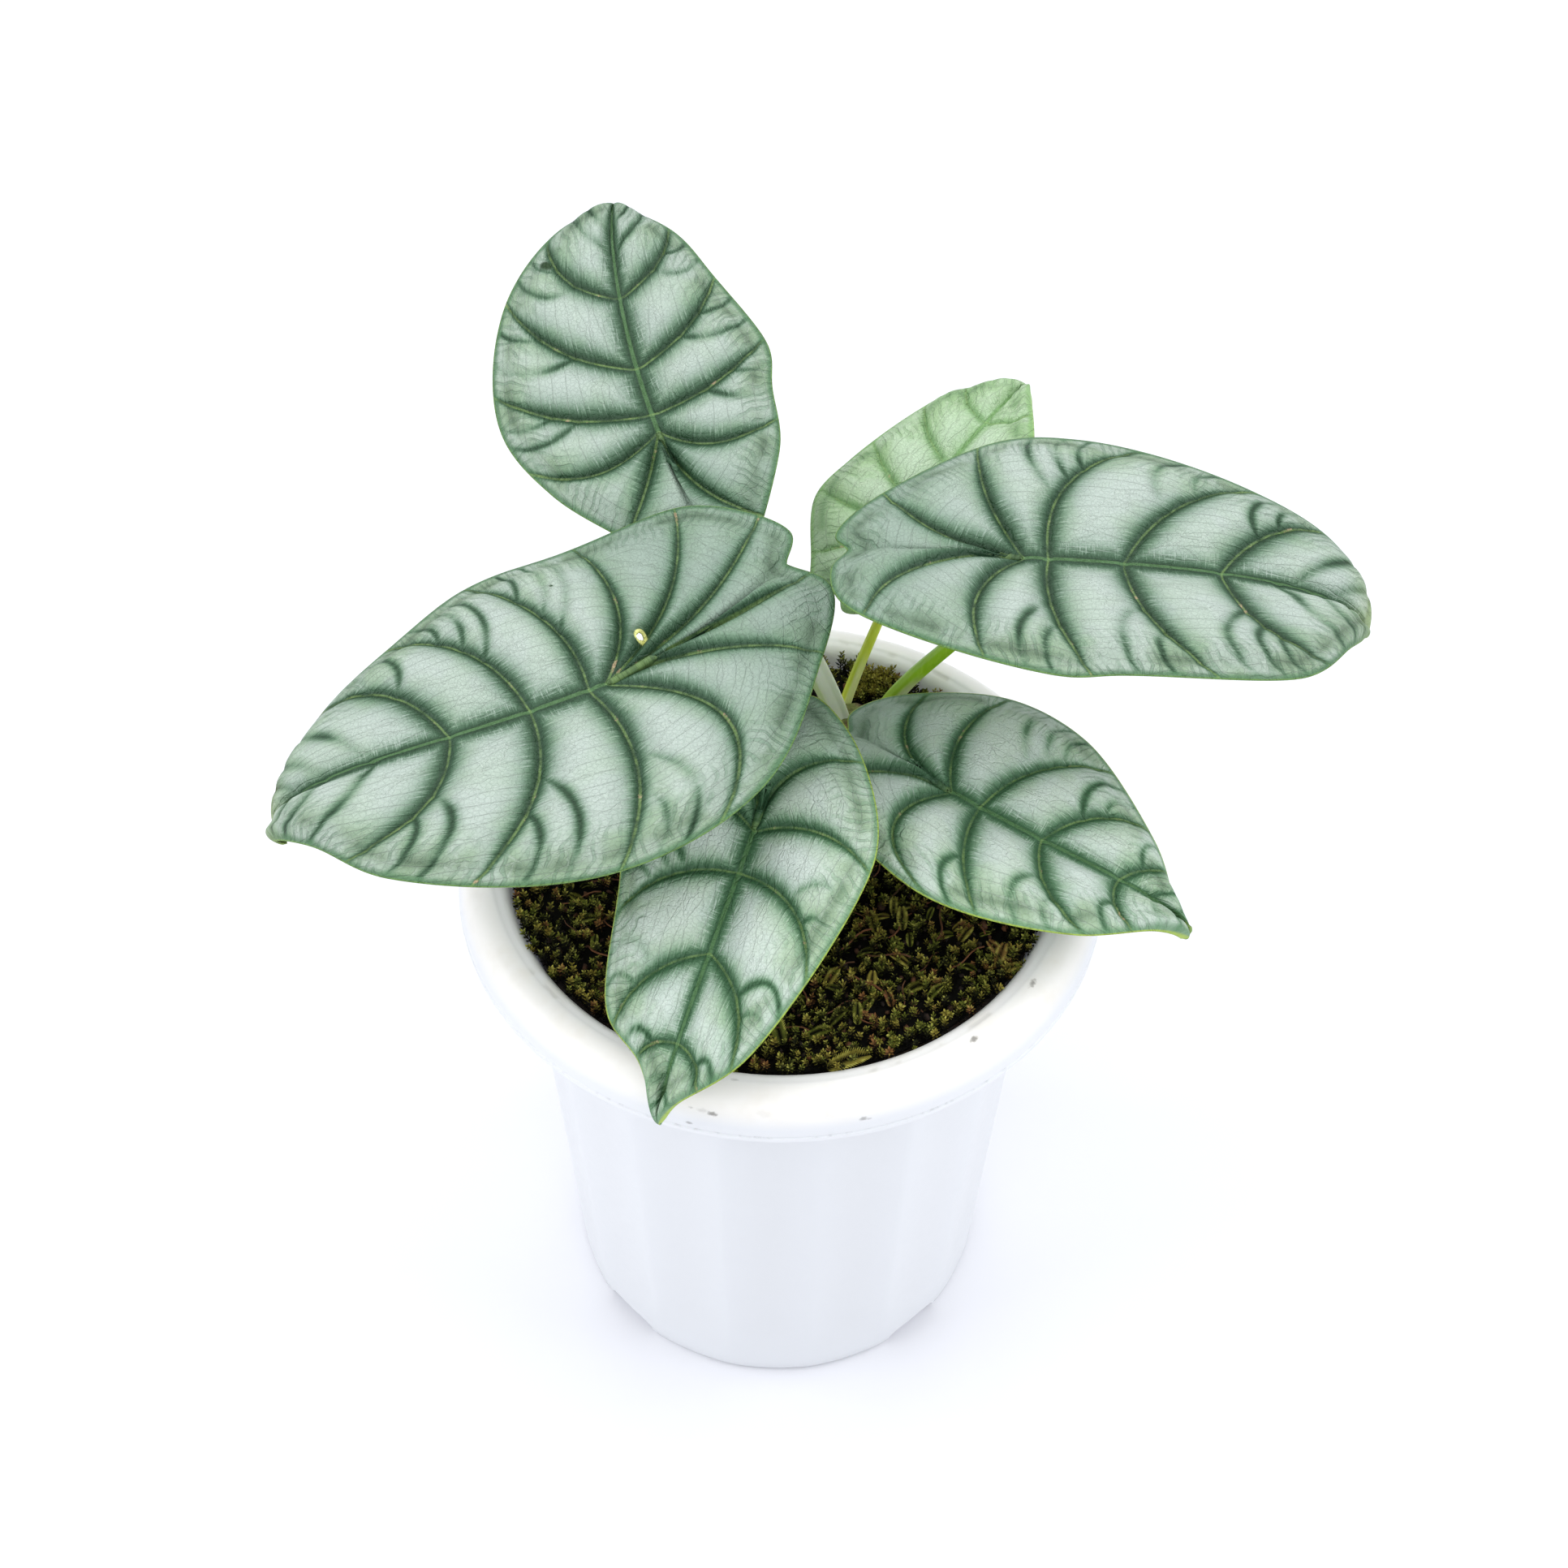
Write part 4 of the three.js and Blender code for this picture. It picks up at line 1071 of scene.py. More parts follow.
def corner_values(piece, before, after, columns):
    """A value for each face corner: a row is seen as 'after' by the faces past it, and as
    'before' by the faces ahead of it."""
    mesh = piece.data
    vertices = np.empty(len(mesh.loops), np.int32)
    mesh.loops.foreach_get("vertex_index", vertices)
    rows, places = np.divmod(vertices, columns)
    face_rows = np.repeat(rows.reshape(-1, 4).min(axis=1), 4)
    return np.where((rows == face_rows)[:, None], after[rows, places], before[rows, places])


def rib_distance(x, y):
    """The distance to the midrib, which starts at the attachment."""
    return np.where(x > 0, np.abs(y), np.hypot(x, y))


def store_distances(blade, before, after, columns):
    """Stores each corner's distances on a blade's mesh: to the veins, midrib, margin and side veins."""
    for key, parts in (("veins", [0, 1, 2]), ("edges", [5, 3, 4])):
        layer = blade.data.attributes.new(key, "FLOAT_VECTOR", "CORNER")
        values = corner_values(blade, before[..., parts], after[..., parts], columns)
        layer.data.foreach_set("vector", values.reshape(-1).astype(np.float32))


def thin_margin(blade, margin):
    """Makes a group of weights by which the blade's thickness shrinks towards its margin."""
    group = blade.vertex_groups.new(name="thickness")
    levels = np.round(np.clip(margin / 2.5, 0, 1).reshape(-1) * 8) / 8
    for level in np.unique(levels):
        group.add(np.nonzero(levels == level)[0].tolist(), 0.45 + 0.55 * float(level), "REPLACE")


def build_blade(letter, number, sizes):
    """One leaf blade: a grid laid out along its veins, bent, puffed, thickened and rounded off."""
    leaf = LEAVES[letter]
    spacing = sizes.spacing / MM
    rng = random.Random(letter)
    panels, phases = leaf_rows(leaf, spacing)
    widest = max(width for side in LEAF_SIGNS for _, width in leaf[side])
    shares = np.linspace(0, 1, math.ceil(widest * 1.12 / spacing) + 1)
    right, right_seen = side_tables(leaf, "right", panels, phases, shares, rng)
    left, left_seen = side_tables(leaf, "left", panels, phases, shares, rng)
    flat = np.concatenate([right[:, ::-1], left[:, 1:]], axis=1)
    gone = hole_faces(leaf, flat)
    x, y = flat[..., 0], flat[..., 1]
    y[np.abs(y) < 1e-6] = 0
    before, after = (
        np.concatenate([right_seen[k][:, ::-1], left_seen[k][:, 1:]], axis=1) for k in (0, 1))
    table = np.minimum(before, after)
    spread = np.concatenate([shares[::-1], shares[1:]])
    lift = leaf_relief(leaf, sizes, x, y, phases, spread, table)
    blade = add_grid(f"leaf_{letter}", bend_leaf(leaf, x, y, lift))
    columns = flat.shape[1]
    uv = blade.data.uv_layers.new(name="flat")
    spot = np.stack([x, y + UV_STEP * number], axis=-1)
    uv.data.foreach_set("uv", corner_values(blade, spot, spot, columns).reshape(-1).astype(np.float32))
    rib = rib_distance(x, y)[..., None]
    store_distances(blade, *(np.append(seen, rib, axis=-1) for seen in (before, after)), columns)
    add_values(blade, blemish=blemish_shade(leaf, x, y))
    thin_margin(blade, table[..., 3])
    remove_faces(blade, gone.reshape(-1))
    merge_doubles(blade)
    apply_modifier(blade, "SOLIDIFY", thickness=sizes.thickness, offset=-1, vertex_group="thickness",
                   material_offset=1, material_offset_rim=2)
    smooth(blade)
    return blade


def remove_faces(piece, gone):
    if not gone.any():
        return
    mesh = bmesh.new()
    mesh.from_mesh(piece.data)
    mesh.faces.ensure_lookup_table()
    faces = [mesh.faces[k] for k in np.nonzero(gone)[0]]
    bmesh.ops.delete(mesh, geom=faces, context="FACES")
    mesh.to_mesh(piece.data)
    mesh.free()


# Leaf finish
def vein_band(distance, along, streaks, slimming, widest, narrowest, length):
    """A soft dark band beside a vein, half as strong at its width, which narrows outwards."""
    width = along.fade(0.0, length, widest, narrowest) * slimming
    ragged = most(distance + streaks, 0)
    return 0.5 ** (ragged / width) ** 1.25


class LeafFinish(Finish):
    """A leaf's finish in the making. Its mesh stores each point's distances in mm: to the veins
    behind and ahead, out from the midrib, to the midrib, to the margin and to a side vein. Its UV
    map is the flat leaf in mm."""

    def __init__(self, name):
        super().__init__(name)
        stored = {"veins": ("behind", "ahead", "along"), "edges": ("rib", "margin", "branch")}
        for attribute, distances in stored.items():
            values = self.node("ShaderNodeAttribute", output="Vector", attribute_name=attribute)
            for axis, distance in zip("XYZ", distances):
                setattr(self, distance, self.node("ShaderNodeSeparateXYZ", {0: values}, axis))
        self.vein = least(self.behind, self.ahead)
        self.flat = self.node("ShaderNodeUVMap", uv_map="flat")
        self.forward = self.node("ShaderNodeSeparateXYZ", {0: self.flat}, "X")

    def streaks(self, seeds, closeness, stretch, detail, roughness):
        """Noise in fine streaks that run away from the veins behind and ahead and the midrib."""
        lines = {"behind": self.along, "ahead": self.along, "rib": self.forward}
        places = []
        for line, seed in seeds.items():
            beside, away = lines[line] * closeness, getattr(self, line) * stretch
            places.append(self.node("ShaderNodeCombineXYZ", {0: beside, 1: away, 2: seed}))
        return [place.grain(1.0, detail, roughness) for place in places]


def silver_panels(leaf, colours, rungs, crease, speckle):
    """The panels between the veins: silver, with yellower green patches and towards the margin."""
    margin, patch = leaf.margin, leaf.patch
    silver = blend(leaf.cloud.fade(0.42, 0.62), colours["silver"], colours["patch"])
    outward = margin.fade(17, 3) * leaf.cloud.fade(0.35, 0.6, 0.2, 0.85)
    silver = blend(outward, silver, colours["green"])
    # each panel is palest where it is puffed up, away from its veins: partly its own paler colour, partly
    # painted light on the bulge
    puffed = leaf.vein.fade(2.0, 8.0) * (margin.fade(3.0, 10.0) * leaf.branch.fade(0.6, 3.0))
    silver = blend(puffed * 0.5, silver, colours["puffed"])
    silver = blend(rungs * 0.3, silver, colours["rung"])
    silver = blend(crease * 0.5, silver, colours["crease"])
    lobes = (leaf.forward + patch * 12).fade(6, -26, 0, 0.5)
    silver = blend(lobes, silver, colours["lobes"])
    return blend(speckle.fade(0.35, 0.65, 0.0, 0.35), silver, colours["shade"])


def vein_bands(leaf, colours, streaks, slim):
    """The dark bands along the veins, and their colour: greyer on the side towards the leaf's base."""
    along, margin, rib = leaf.along, leaf.margin, leaf.rib
    slimming = margin.fade(1.0, 13.0, 0.4, 1.0)
    lines = ((leaf.behind, along), (leaf.ahead, along), (rib, leaf.forward))
    far, near, middle = (
        vein_band(distance, step, ragged, slimming, *widths)
        for (distance, step), ragged, widths in zip(lines, streaks, colours["bands"]))
    branch = vein_band(leaf.branch, along, slim, margin.fade(1.0, 11.0, 0.6, 1.0), 1.4, 1.1, 40)
    uneven = leaf.flat.grain(0.05, 1).fade(0.35, 0.6, 0.35, colours["branches"])
    band = most(far, near, middle, branch * uneven)
    # thin silver hairs, 0.3 mm wide and 5 mm long, break the bands up
    hairs, rib_hairs = (
        hair.fade(0.52, 0.68) for hair in leaf.streaks({"behind": 5.0, "rib": 11.0}, 3.4, 0.2, 2, 0.6))
    feather = most(hairs, rib_hairs * rib.fade(7, 4))
    band = band * (colours["strength"] - feather * (band.fade(0.95, 0.5) * 0.45))
    return band, blend(near * 0.6, colours["dark"], colours["grey_dark"])


def margin_lines(leaf, colours, colour, dark, slim):
    """Adds the lines that follow the margin."""
    # a dark line, some 4 mm in, where the main veins' ends join up
    inset = vein_band(abs(leaf.margin - HEM_LINE), leaf.along, slim, 1.0, 1.3, 1.3, 40)
    colour = blend(inset * leaf.cloud.fade(0.38, 0.62, 0.0, 0.55), colour, dark)
    # the green hem, and a pale line at the very edge
    hem = (leaf.margin + leaf.patch * 1.4).fade(2.5, 1.2)
    colour = blend(hem * 0.8, colour, colours["hem"])
    return blend(leaf.margin.fade(0.4, 0.15), colour, colours["edge"])


def vein_lines(leaf, colours, colour):
    """Adds the corded midrib, and thin pale vein lines broken by corky scars."""
    cord_width = leaf.forward.fade(0.0, 80.0, 0.6, 0.3)
    cord = (leaf.rib / cord_width).fade(1.2, 0.55) * leaf.forward.fade(-4.0, 0.0)
    colour = blend(cord * 0.6, colour, colours["rib"])
    broken = leaf.flat.grain(0.16, 4, 0.7)
    pale = leaf.vein.fade(0.42, 0.12) * broken.fade(0.38, 0.6, 0.15, 0.6)
    colour = blend(pale, colour, colours["line"])
    scar = leaf.vein.fade(0.5, 0.25) * broken.fade(0.6, 0.68) * leaf.rib.fade(2.5, 5.0)
    return blend(scar * colours["scars"], colour, "C7A58A")


def damage(leaf, colours, colour):
    """Adds the blemishes, the pale callus round the hole in the big leaf, and the yellowed tip."""
    blemish = leaf.node("ShaderNodeAttribute", output="Fac", attribute_name="blemish")
    spoiled = (blemish + leaf.patch * 0.2).fade(0.3, 1.0)
    colour = blend(spoiled, colour, "24401F")
    callus = leaf.node("ShaderNodeVectorMath", {0: leaf.flat, 1: CALLUS}, "Value", operation="DISTANCE")
    colour = blend(callus.fade(1.75, 1.3), colour, "DDE08C")
    return blend(leaf.forward.fade(*colours["tip"]) * 0.6, colour, "A3B457")


def leaf_face(name, colours):
    """The leathery upper face: air under the skin makes the panels silver and satin, while the
    sunken veins are drawn in wet-looking dark green with corky scars."""
    leaf = LeafFinish(name)
    # clouds of 13 mm, patches of 6 mm and specks of 0.4 mm
    leaf.cloud, leaf.patch = leaf.flat.grain(0.075, 2), leaf.flat.grain(0.16, 3)
    speckle = leaf.flat.grain(2.6, 2, 0.7)
    # streaks 0.7 mm wide and 3.6 mm long make the bands' edges ragged
    seeds = {"behind": 3.0, "ahead": 17.0, "rib": 31.0}
    streaks = [streak.fade(0.25, 0.75, -0.1, 0.1) for streak in leaf.streaks(seeds, 1.5, 0.28, 3, 0.65)]
    slim = streaks[0] * 0.3
    # cross veins between the veins in cells of 3 by 10 mm, and a net of 1.1 mm
    warped = {0: leaf.along * 0.32, 1: leaf.behind * 0.1, 2: leaf.patch * 1.6}
    borders = {"output": "Distance", "feature": "DISTANCE_TO_EDGE"}
    cells = {"Vector": leaf.node("ShaderNodeCombineXYZ", warped), "Scale": 1.0}
    rungs = leaf.node("ShaderNodeTexVoronoi", cells, **borders).fade(0.05, 0.0)
    cells = {"Vector": leaf.flat, "Scale": 0.9}
    net = leaf.node("ShaderNodeTexVoronoi", cells, **borders).fade(0.12, 0.0)
    # creases about 2 mm apart that run out to the margin
    wavy = leaf.behind * 2.9 + leaf.flat.grain(0.13, 2) * 16.0
    crease = wavy.math("SINE", wavy, 0).fade(0.2, 1.0)
    crease = crease * (leaf.margin.fade(14.0, 5.0) * leaf.patch.fade(0.38, 0.55))
    silver = silver_panels(leaf, colours, rungs, crease, speckle)
    band, dark = vein_bands(leaf, colours, streaks, slim)
    colour = blend(band.fade(0.0, 0.85), silver, colours["halo"])
    colour = blend(band.fade(0.3, 1.0, 0.0, 0.9), colour, dark)
    colour = margin_lines(leaf, colours, colour, dark, slim)
    colour = damage(leaf, colours, vein_lines(leaf, colours, colour))
    height = speckle * 0.35 - net * 0.25 - rungs * 0.5 + streaks[0] * 0.12 - crease * 0.9
    return leaf.done({
        "Base Color": colour, "Roughness": band.fade(0.0, 1.0, 0.5, 0.4) + speckle * 0.08,
        "Specular IOR Level": 0.3,
        "Normal": leaf.node("ShaderNodeBump", {"Height": height, "Strength": 0.8, "Distance": 0.0005}),
    })


def leaf_back(name, colours):
    """The paler, matt lower face, where the veins stand out."""
    leaf = LeafFinish(name)
    mottle = leaf.flat.grain(0.4, 4)  # lumps of 2.5 mm
    line = most(least(leaf.vein, leaf.rib).fade(1.3, 0.3), leaf.branch.fade(0.7, 0.2) * 0.6)
    colour = blend(mottle, colours["back"], colours["back_patch"])
    colour = blend(line * 0.75, colour, colours["back_vein"])
    colour = blend(leaf.margin.fade(0.8, 0.2), colour, colours["edge"])
    height = line + mottle * 0.2
    relief = leaf.node("ShaderNodeBump", {"Height": height, "Strength": 0.8, "Distance": 0.0005})
    return leaf.done({"Base Color": colour, "Roughness": 0.6, "IOR": 1.4, "Normal": relief})


def leaf_rim(name, colours):
    """The thin cut-like edge of the blade: translucent yellow-green."""
    leaf = LeafFinish(name)
    cloudy = leaf.flat.grain(0.1, 2).fade(0.4, 0.7, 0, 0.3)  # clouds of 10 mm
    return leaf.done({"Base Color": blend(cloudy, colours["edge"], colours["hem"]), "Roughness": 0.45})


# Leaf colours. Each band is [widest, narrowest, length] in mm: behind a vein, ahead of it and
# beside the midrib. The tip yellows between two distances along the midrib.
MATURE = {
    "silver": "A8B5AC", "patch": "9DB09C", "puffed": "C4D0C8", "green": "8FAB87", "shade": "95AA99",
    "rung": "C9D6CA", "dark": "0F2D15", "grey_dark": "24402E", "halo": "567F5E", "crease": "65886B",
    "lobes": "5E7E68", "hem": "46724A", "edge": "6E9450", "rib": "5C8552", "line": "7F9E5C",
    "back": "8FAE82", "back_patch": "A3BD97", "back_vein": "B4C98F",
    "bands": ((3.5, 1.6, 45.0), (3.1, 1.3, 45.0), (4.0, 1.6, 85.0)),
    "strength": 1.0, "branches": 0.95, "scars": 0.6, "tip": (74.0, 98.0),
}
# The two low leaves sit in the shade of the others, and their colours are lightened as painted light to
# make up for it.
LOWER_LIGHTENED = {
    **MATURE,
    "silver": "C6D3CB", "patch": "BCCEB9", "puffed": "DCE7E0", "green": "A5C19A", "shade": "B2C7B6",
    "rung": "E2EEE3", "dark": "1F4727", "grey_dark": "2F5138", "halo": "69976F", "crease": "83AA86",
    "lobes": "7C9C86", "hem": "5F8C62", "edge": "A6C14F",
    "bands": ((3.0, 1.2, 40.0), (2.6, 1.0, 40.0), (3.3, 0.9, 70.0)),
}
YOUNG = {
    "silver": "B5CCAE", "patch": "AAC6A0", "puffed": "C6DBC0", "green": "9DBE88", "shade": "9BB590",
    "rung": "D0E0C4", "dark": "477544", "grey_dark": "5F855A", "halo": "86AF72", "crease": "88AE7C",
    "lobes": "8DAE84", "hem": "7FAF63", "edge": "A8C982", "rib": "7CA765", "line": "8FB070",
    "back": "9DBB88", "back_patch": "AFC99B", "back_vein": "BDD493",
    "bands": ((2.0, 1.3, 30.0), (1.7, 1.1, 30.0), (2.1, 1.2, 55.0)),
    "strength": 0.72, "branches": 0.4, "scars": 0.5, "tip": (50.0, 62.0),
}
FINISHES = {"silver": ("blade", MATURE), "lower": ("blade", LOWER_LIGHTENED), "young": ("young_blade", YOUNG)}
LEAF_FINISHES = {"a": "silver", "b": "silver", "c": "young", "d": "silver", "e": "lower", "f": "lower"}


# Stalks and corm
def stalk_line(leaf, steps):
    """The stalk's centre line, in mm, and the two directions of its section at each step."""
    normal = leaf_turn(leaf) @ np.array([0, 0, 1])
    head = np.array(leaf["attach"]) - normal * 0.9
    foot = np.array([*leaf["stalk"]["foot"], STALK_FOOT])
    rise = foot + np.array([0, 0, leaf["stalk"]["rise"]])
    drop = head - normal * leaf["stalk"]["drop"]
    t = np.linspace(0, 1, steps)[:, None]
    line = (1 - t) ** 3 * foot + 3 * t * (1 - t) ** 2 * rise + 3 * t ** 2 * (1 - t) * drop + t ** 3 * head
    tangents = [Vector(v).normalized() for v in np.gradient(line, axis=0)]
    first, second = Vector((-1, 0, 0)), Vector((0, -1, 0))
    axes = []
    for before, here in zip([Vector((0, 0, 1)), *tangents], tangents):
        turn = before.rotation_difference(here)
        first, second = turn @ first, turn @ second
        axes.append((np.array(first), np.array(second)))
    return line, axes


def build_stalk(letter, sizes):
    """A fleshy stalk with faint ribs, whose lower third opens into a thin-edged sheath."""
    leaf = LEAVES[letter]
    line, axes = stalk_line(leaf, sizes.steps)
    share = np.linspace(0, 1, sizes.steps)
    foot, sheath, head = (np.array(pair) for pair in leaf["stalk"]["radii"])
    half = np.where((share < SHEATH_SHARE)[:, None],
                    foot + (sheath - foot) * (share / SHEATH_SHARE)[:, None],
                    sheath + (head - sheath) * ((share - SHEATH_SHARE) / (1 - SHEATH_SHARE))[:, None])
    angle = np.linspace(0, 2 * math.pi, sizes.sides + 1)
    wings = 0.12 * swell(angle - 1.4, 0.2) + 0.12 * swell(angle - 3.0, 0.2)
    groove = 0.3 * swell(angle - SHEATH_OPENS, 0.45)
    opened = np.clip((0.42 - share) / 0.12, 0, 1)[:, None]
    factor = 1 + 0.025 * np.cos(9 * angle) + opened * (wings - groove)
    factor *= (1 + 0.16 * swell(share - 1, 0.03))[:, None]  # the stalk thickens where it meets the blade
    points = np.empty((sizes.steps, sizes.sides + 1, 3))
    for i, (first, second) in enumerate(axes):
        across = (np.cos(angle) * half[i, 0])[:, None] * first
        across += (np.sin(angle) * half[i, 1])[:, None] * second
        points[i] = line[i] + across * factor[i][:, None]
    points[:, -1] = points[:, 0]
    stalk = add_grid(f"stalk_{letter}", points)
    add_values(stalk, rise=np.repeat(share, sizes.sides + 1),
               turn=np.tile(np.cos(angle - SHEATH_OPENS), sizes.steps))
    merge_doubles(stalk)
    close_ends(stalk)
    smooth(stalk)
    return stalk


def close_ends(piece):
    """Fills the open ends of a tube and turns its faces outwards."""
    activate(piece)
    bpy.ops.object.mode_set(mode="EDIT")
    bpy.ops.mesh.select_mode(type="EDGE")
    bpy.ops.mesh.select_all(action="DESELECT")
    bpy.ops.mesh.select_non_manifold()
    bpy.ops.mesh.edge_face_add()
    bpy.ops.mesh.select_all(action="SELECT")
    bpy.ops.mesh.normals_make_consistent(inside=False)
    bpy.ops.object.mode_set(mode="OBJECT")


def fleshy_stalk(name, low, high, edge, flecks):
    """Fleshy stalk skin: smooth and waxy, with fine lengthwise streaks."""
    finish = Finish(name)
    rise = finish.node("ShaderNodeAttribute", output="Fac", attribute_name="rise")
    turn = finish.node("ShaderNodeAttribute", output="Fac", attribute_name="turn")
    # streaks 0.7 mm wide and 6 mm long
    place = finish.node("ShaderNodeTexCoord", output="Object")
    long = finish.node("ShaderNodeMapping", {"Vector": place, "Scale": (1, 1, 0.12)})
    streak = long.grain(1400, 3)
    colour = blend(rise.fade(0.05, 0.45), low, high)
    colour = blend(streak.fade(0.4, 0.7, 0, 0.35), colour, flecks)
    colour = blend(turn.fade(0.35, 0.75) * rise.fade(0.42, 0.3), colour, edge)
    return finish.done({
        "Base Color": colour, "Roughness": streak.fade(0.3, 0.7, 0.36, 0.5),
        "Normal": finish.node("ShaderNodeBump", {"Height": streak, "Strength": 0.4, "Distance": 0.0002}),
        "Subsurface Weight": 0.25, "Subsurface Radius": (0.7, 1, 0.25), "Subsurface Scale": 0.0015,
    })


def papery_base(sizes):
    """Old papery leaf bases round the crown: dry, fibrous, brown with green between."""
    finish = Finish("papery_leaf_bases")
    place = finish.node("ShaderNodeTexCoord", output="Object")
    # fibres 1.1 mm wide and 6 mm long, and green patches of 6 mm
    fibre = finish.node("ShaderNodeMapping", {"Vector": place, "Scale": (1, 1, 0.2)}).grain(900, 5, 0.7)
    colour = blend(fibre.fade(0.35, 0.65), "3B2C18", sizes.colour)
    colour = blend(place.grain(160, 3).fade(0.5, 0.65, 0, 0.7), colour, "8E9A55")
    relief = finish.node("ShaderNodeBump", {"Height": fibre, "Strength": 0.8, "Distance": 0.0006})
    return finish.done({"Base Color": colour, "Roughness": 0.75, "Normal": relief})


def build_corm():
    """The crown: a knob ringed with leaf scars, its skin pulled up in folds round the stalks."""
    shoulder = CORM_TOP - 1.4
    heights = np.concatenate([[CORM_BOTTOM], np.linspace(CORM_BOTTOM + 6, shoulder, 40)])
    radii = np.interp(heights, [CORM_BOTTOM, CORM_BOTTOM + 6, CORM_BOTTOM + 18, CORM_TOP - 4.5, shoulder],
                      [6.5, CORM_RADIUS - 1, CORM_RADIUS, CORM_RADIUS - 0.4, CORM_RADIUS - 2.6])
    top = [[7.6, CORM_TOP - 0.5], [6, CORM_TOP - 0.2], [4, CORM_TOP], [2, CORM_TOP], [0.8, CORM_TOP]]
    corm = add_turned("corm", [*zip(radii, heights), *top], 96)
    places = vertex_places(corm)
    height = places[:, 2]
    angle = np.arctan2(places[:, 0], places[:, 1])
    folds = 0.035 * np.sin(6 * angle + 0.25 * height) + 0.02 * np.sin(17 * angle - 0.4 * height)
    rings = 0.02 * np.sin(height * 2.1)
    places[:, :2] *= (0.96 + folds + rings)[:, None]
    places[:, :2] += CORM_CENTRE
    move_vertices(corm, places)
    smooth(corm)
    return corm


# Settings
def length_setting(name, description, millimetres):
    return FloatProperty(name=name, description=description, default=millimetres * MM, subtype="DISTANCE")


def angle_setting(name, description, degrees):
    return FloatProperty(name=name, description=description, default=math.radians(degrees), subtype="ANGLE")


def count_setting(name, description, default, fewest=0):
    return IntProperty(name=name, description=description, default=default, min=fewest)


def colour_setting(name, description, code):
    return FloatVectorProperty(name=name, description=description, subtype="COLOR", default=linear(code))


class PotSettings(bpy.types.PropertyGroup):
    flutes: count_setting("Flutes", "Concave flutes round the body", 16, 3)
    flute_depth: length_setting("Flute depth", "How far a flute is drawn in between two ridges", 1.2)
    wall: length_setting("Wall", "Thickness of the moulded wall", 1.3)
    sides: count_setting("Sides", "Steps round the pot", 320, 32)
    colour: colour_setting("Plastic", "Colour of the plastic", "DEE1E4")


class SoilSettings(bpy.types.PropertyGroup):
    crumbs: count_setting("Crumbs", "Bark chips and clods on the soil", 1100)
    twigs: count_setting("Twigs", "Fine roots and twigs on the moss", 110)
    colour: colour_setting("Peat", "Colour of the drier crumbs", "35261A")


class MossSettings(bpy.types.PropertyGroup):
    shoots: count_setting("Shoots", "Upright moss shoots before gaps are left", 5300)
    fronds: count_setting("Fronds", "Feathery creeping fronds", 300)
    colour: colour_setting("Moss", "Colour of the fresh shoots", "646C22")


class LeafSettings(bpy.types.PropertyGroup):
    thickness: length_setting("Thickness", "Thickness of a blade", 0.8)
    quilt: length_setting("Quilt", "How far a panel stands above its veins", 2.1)
    margin_turn: length_setting("Margin turn", "How far the margin turns down", 1.3)
    spacing: length_setting("Spacing", "Distance between a blade's mesh lines", 0.8)


class StalkSettings(bpy.types.PropertyGroup):
    steps: count_setting("Steps", "Mesh rings along a stalk", 64, 8)
    sides: count_setting("Sides", "Mesh sides round a stalk", 36, 8)
    colour: colour_setting("Crown", "Colour of the dry leaf bases", "8C7750")


class StageSettings(bpy.types.PropertyGroup):
    lens: FloatProperty(name="Lens", description="Focal length in mm", default=50.0)
    sensor: FloatProperty(name="Sensor", description="Sensor width in mm", default=24.0)
    distance: length_setting("Distance", "From the camera to the point it looks at", 743)
    elevation: angle_setting("Elevation", "How steeply the camera looks down", 49)
    tilt: angle_setting("Tilt", "The camera's slight roll", 0.64)
    aim: FloatVectorProperty(
        name="Aim", description="The point that the camera looks at", subtype="XYZ",
        default=(0.0005, 0, 0.170))


SETTINGS = {
    "alocasia_pot": PotSettings, "alocasia_soil": SoilSettings, "alocasia_moss": MossSettings,
    "alocasia_leaf": LeafSettings, "alocasia_stalk": StalkSettings, "alocasia_stage": StageSettings,
}


# Operators
class ALOCASIA_OT_pot(bpy.types.Operator):
    """Add the white fluted nursery pot"""
    bl_idname = "alocasia.add_pot"
    bl_label = "Pot"

    def execute(self, context):
        sizes = context.scene.alocasia_pot
        profile = pot_profile(sizes.wall / MM, sizes.flute_depth / MM)
        pot = add_turned("nursery_pot", profile, sizes.sides)
        flute_pot(pot, sizes.flutes, sizes.flute_depth / MM)
        cut_notches(pot)
        smooth(pot)
        pot.data.set_sharp_from_angle(angle=math.radians(42))
        dress(pot, "pot_plastic", [moulded_polypropylene(sizes)], "pot")
        return {"FINISHED"}


class ALOCASIA_OT_soil(bpy.types.Operator):
    """Add the soil with its bark crumbs and twigs"""
    bl_idname = "alocasia.add_soil"
    bl_label = "Soil"

    def execute(self, context):
        sizes = context.scene.alocasia_soil
        peat = moist_peat(sizes)
        dress(build_soil(), "soil", [peat], "soil")
        dress(build_crumbs(sizes), "soil", [peat])
        dress(build_twigs(sizes), "soil", [peat])
        return {"FINISHED"}


class ALOCASIA_OT_moss(bpy.types.Operator):
    """Add the moss mat, its shoots and its fronds"""
    bl_idname = "alocasia.add_moss"
    bl_label = "Moss"

    def execute(self, context):
        sizes = context.scene.alocasia_moss
        moss = living_moss(sizes)
        dress(build_moss_mat(), "moss", [moss], "moss")
        dress(build_moss_shoots(sizes), "moss", [moss])
        dress(build_moss_fronds(sizes), "moss", [moss])
        return {"FINISHED"}


class ALOCASIA_OT_corm(bpy.types.Operator):
    """Add the crown that the stalks grow from"""
    bl_idname = "alocasia.add_corm"
    bl_label = "Crown"

    def execute(self, context):
        dress(build_corm(), "corm", [papery_base(context.scene.alocasia_stalk)], "corm")
        return {"FINISHED"}


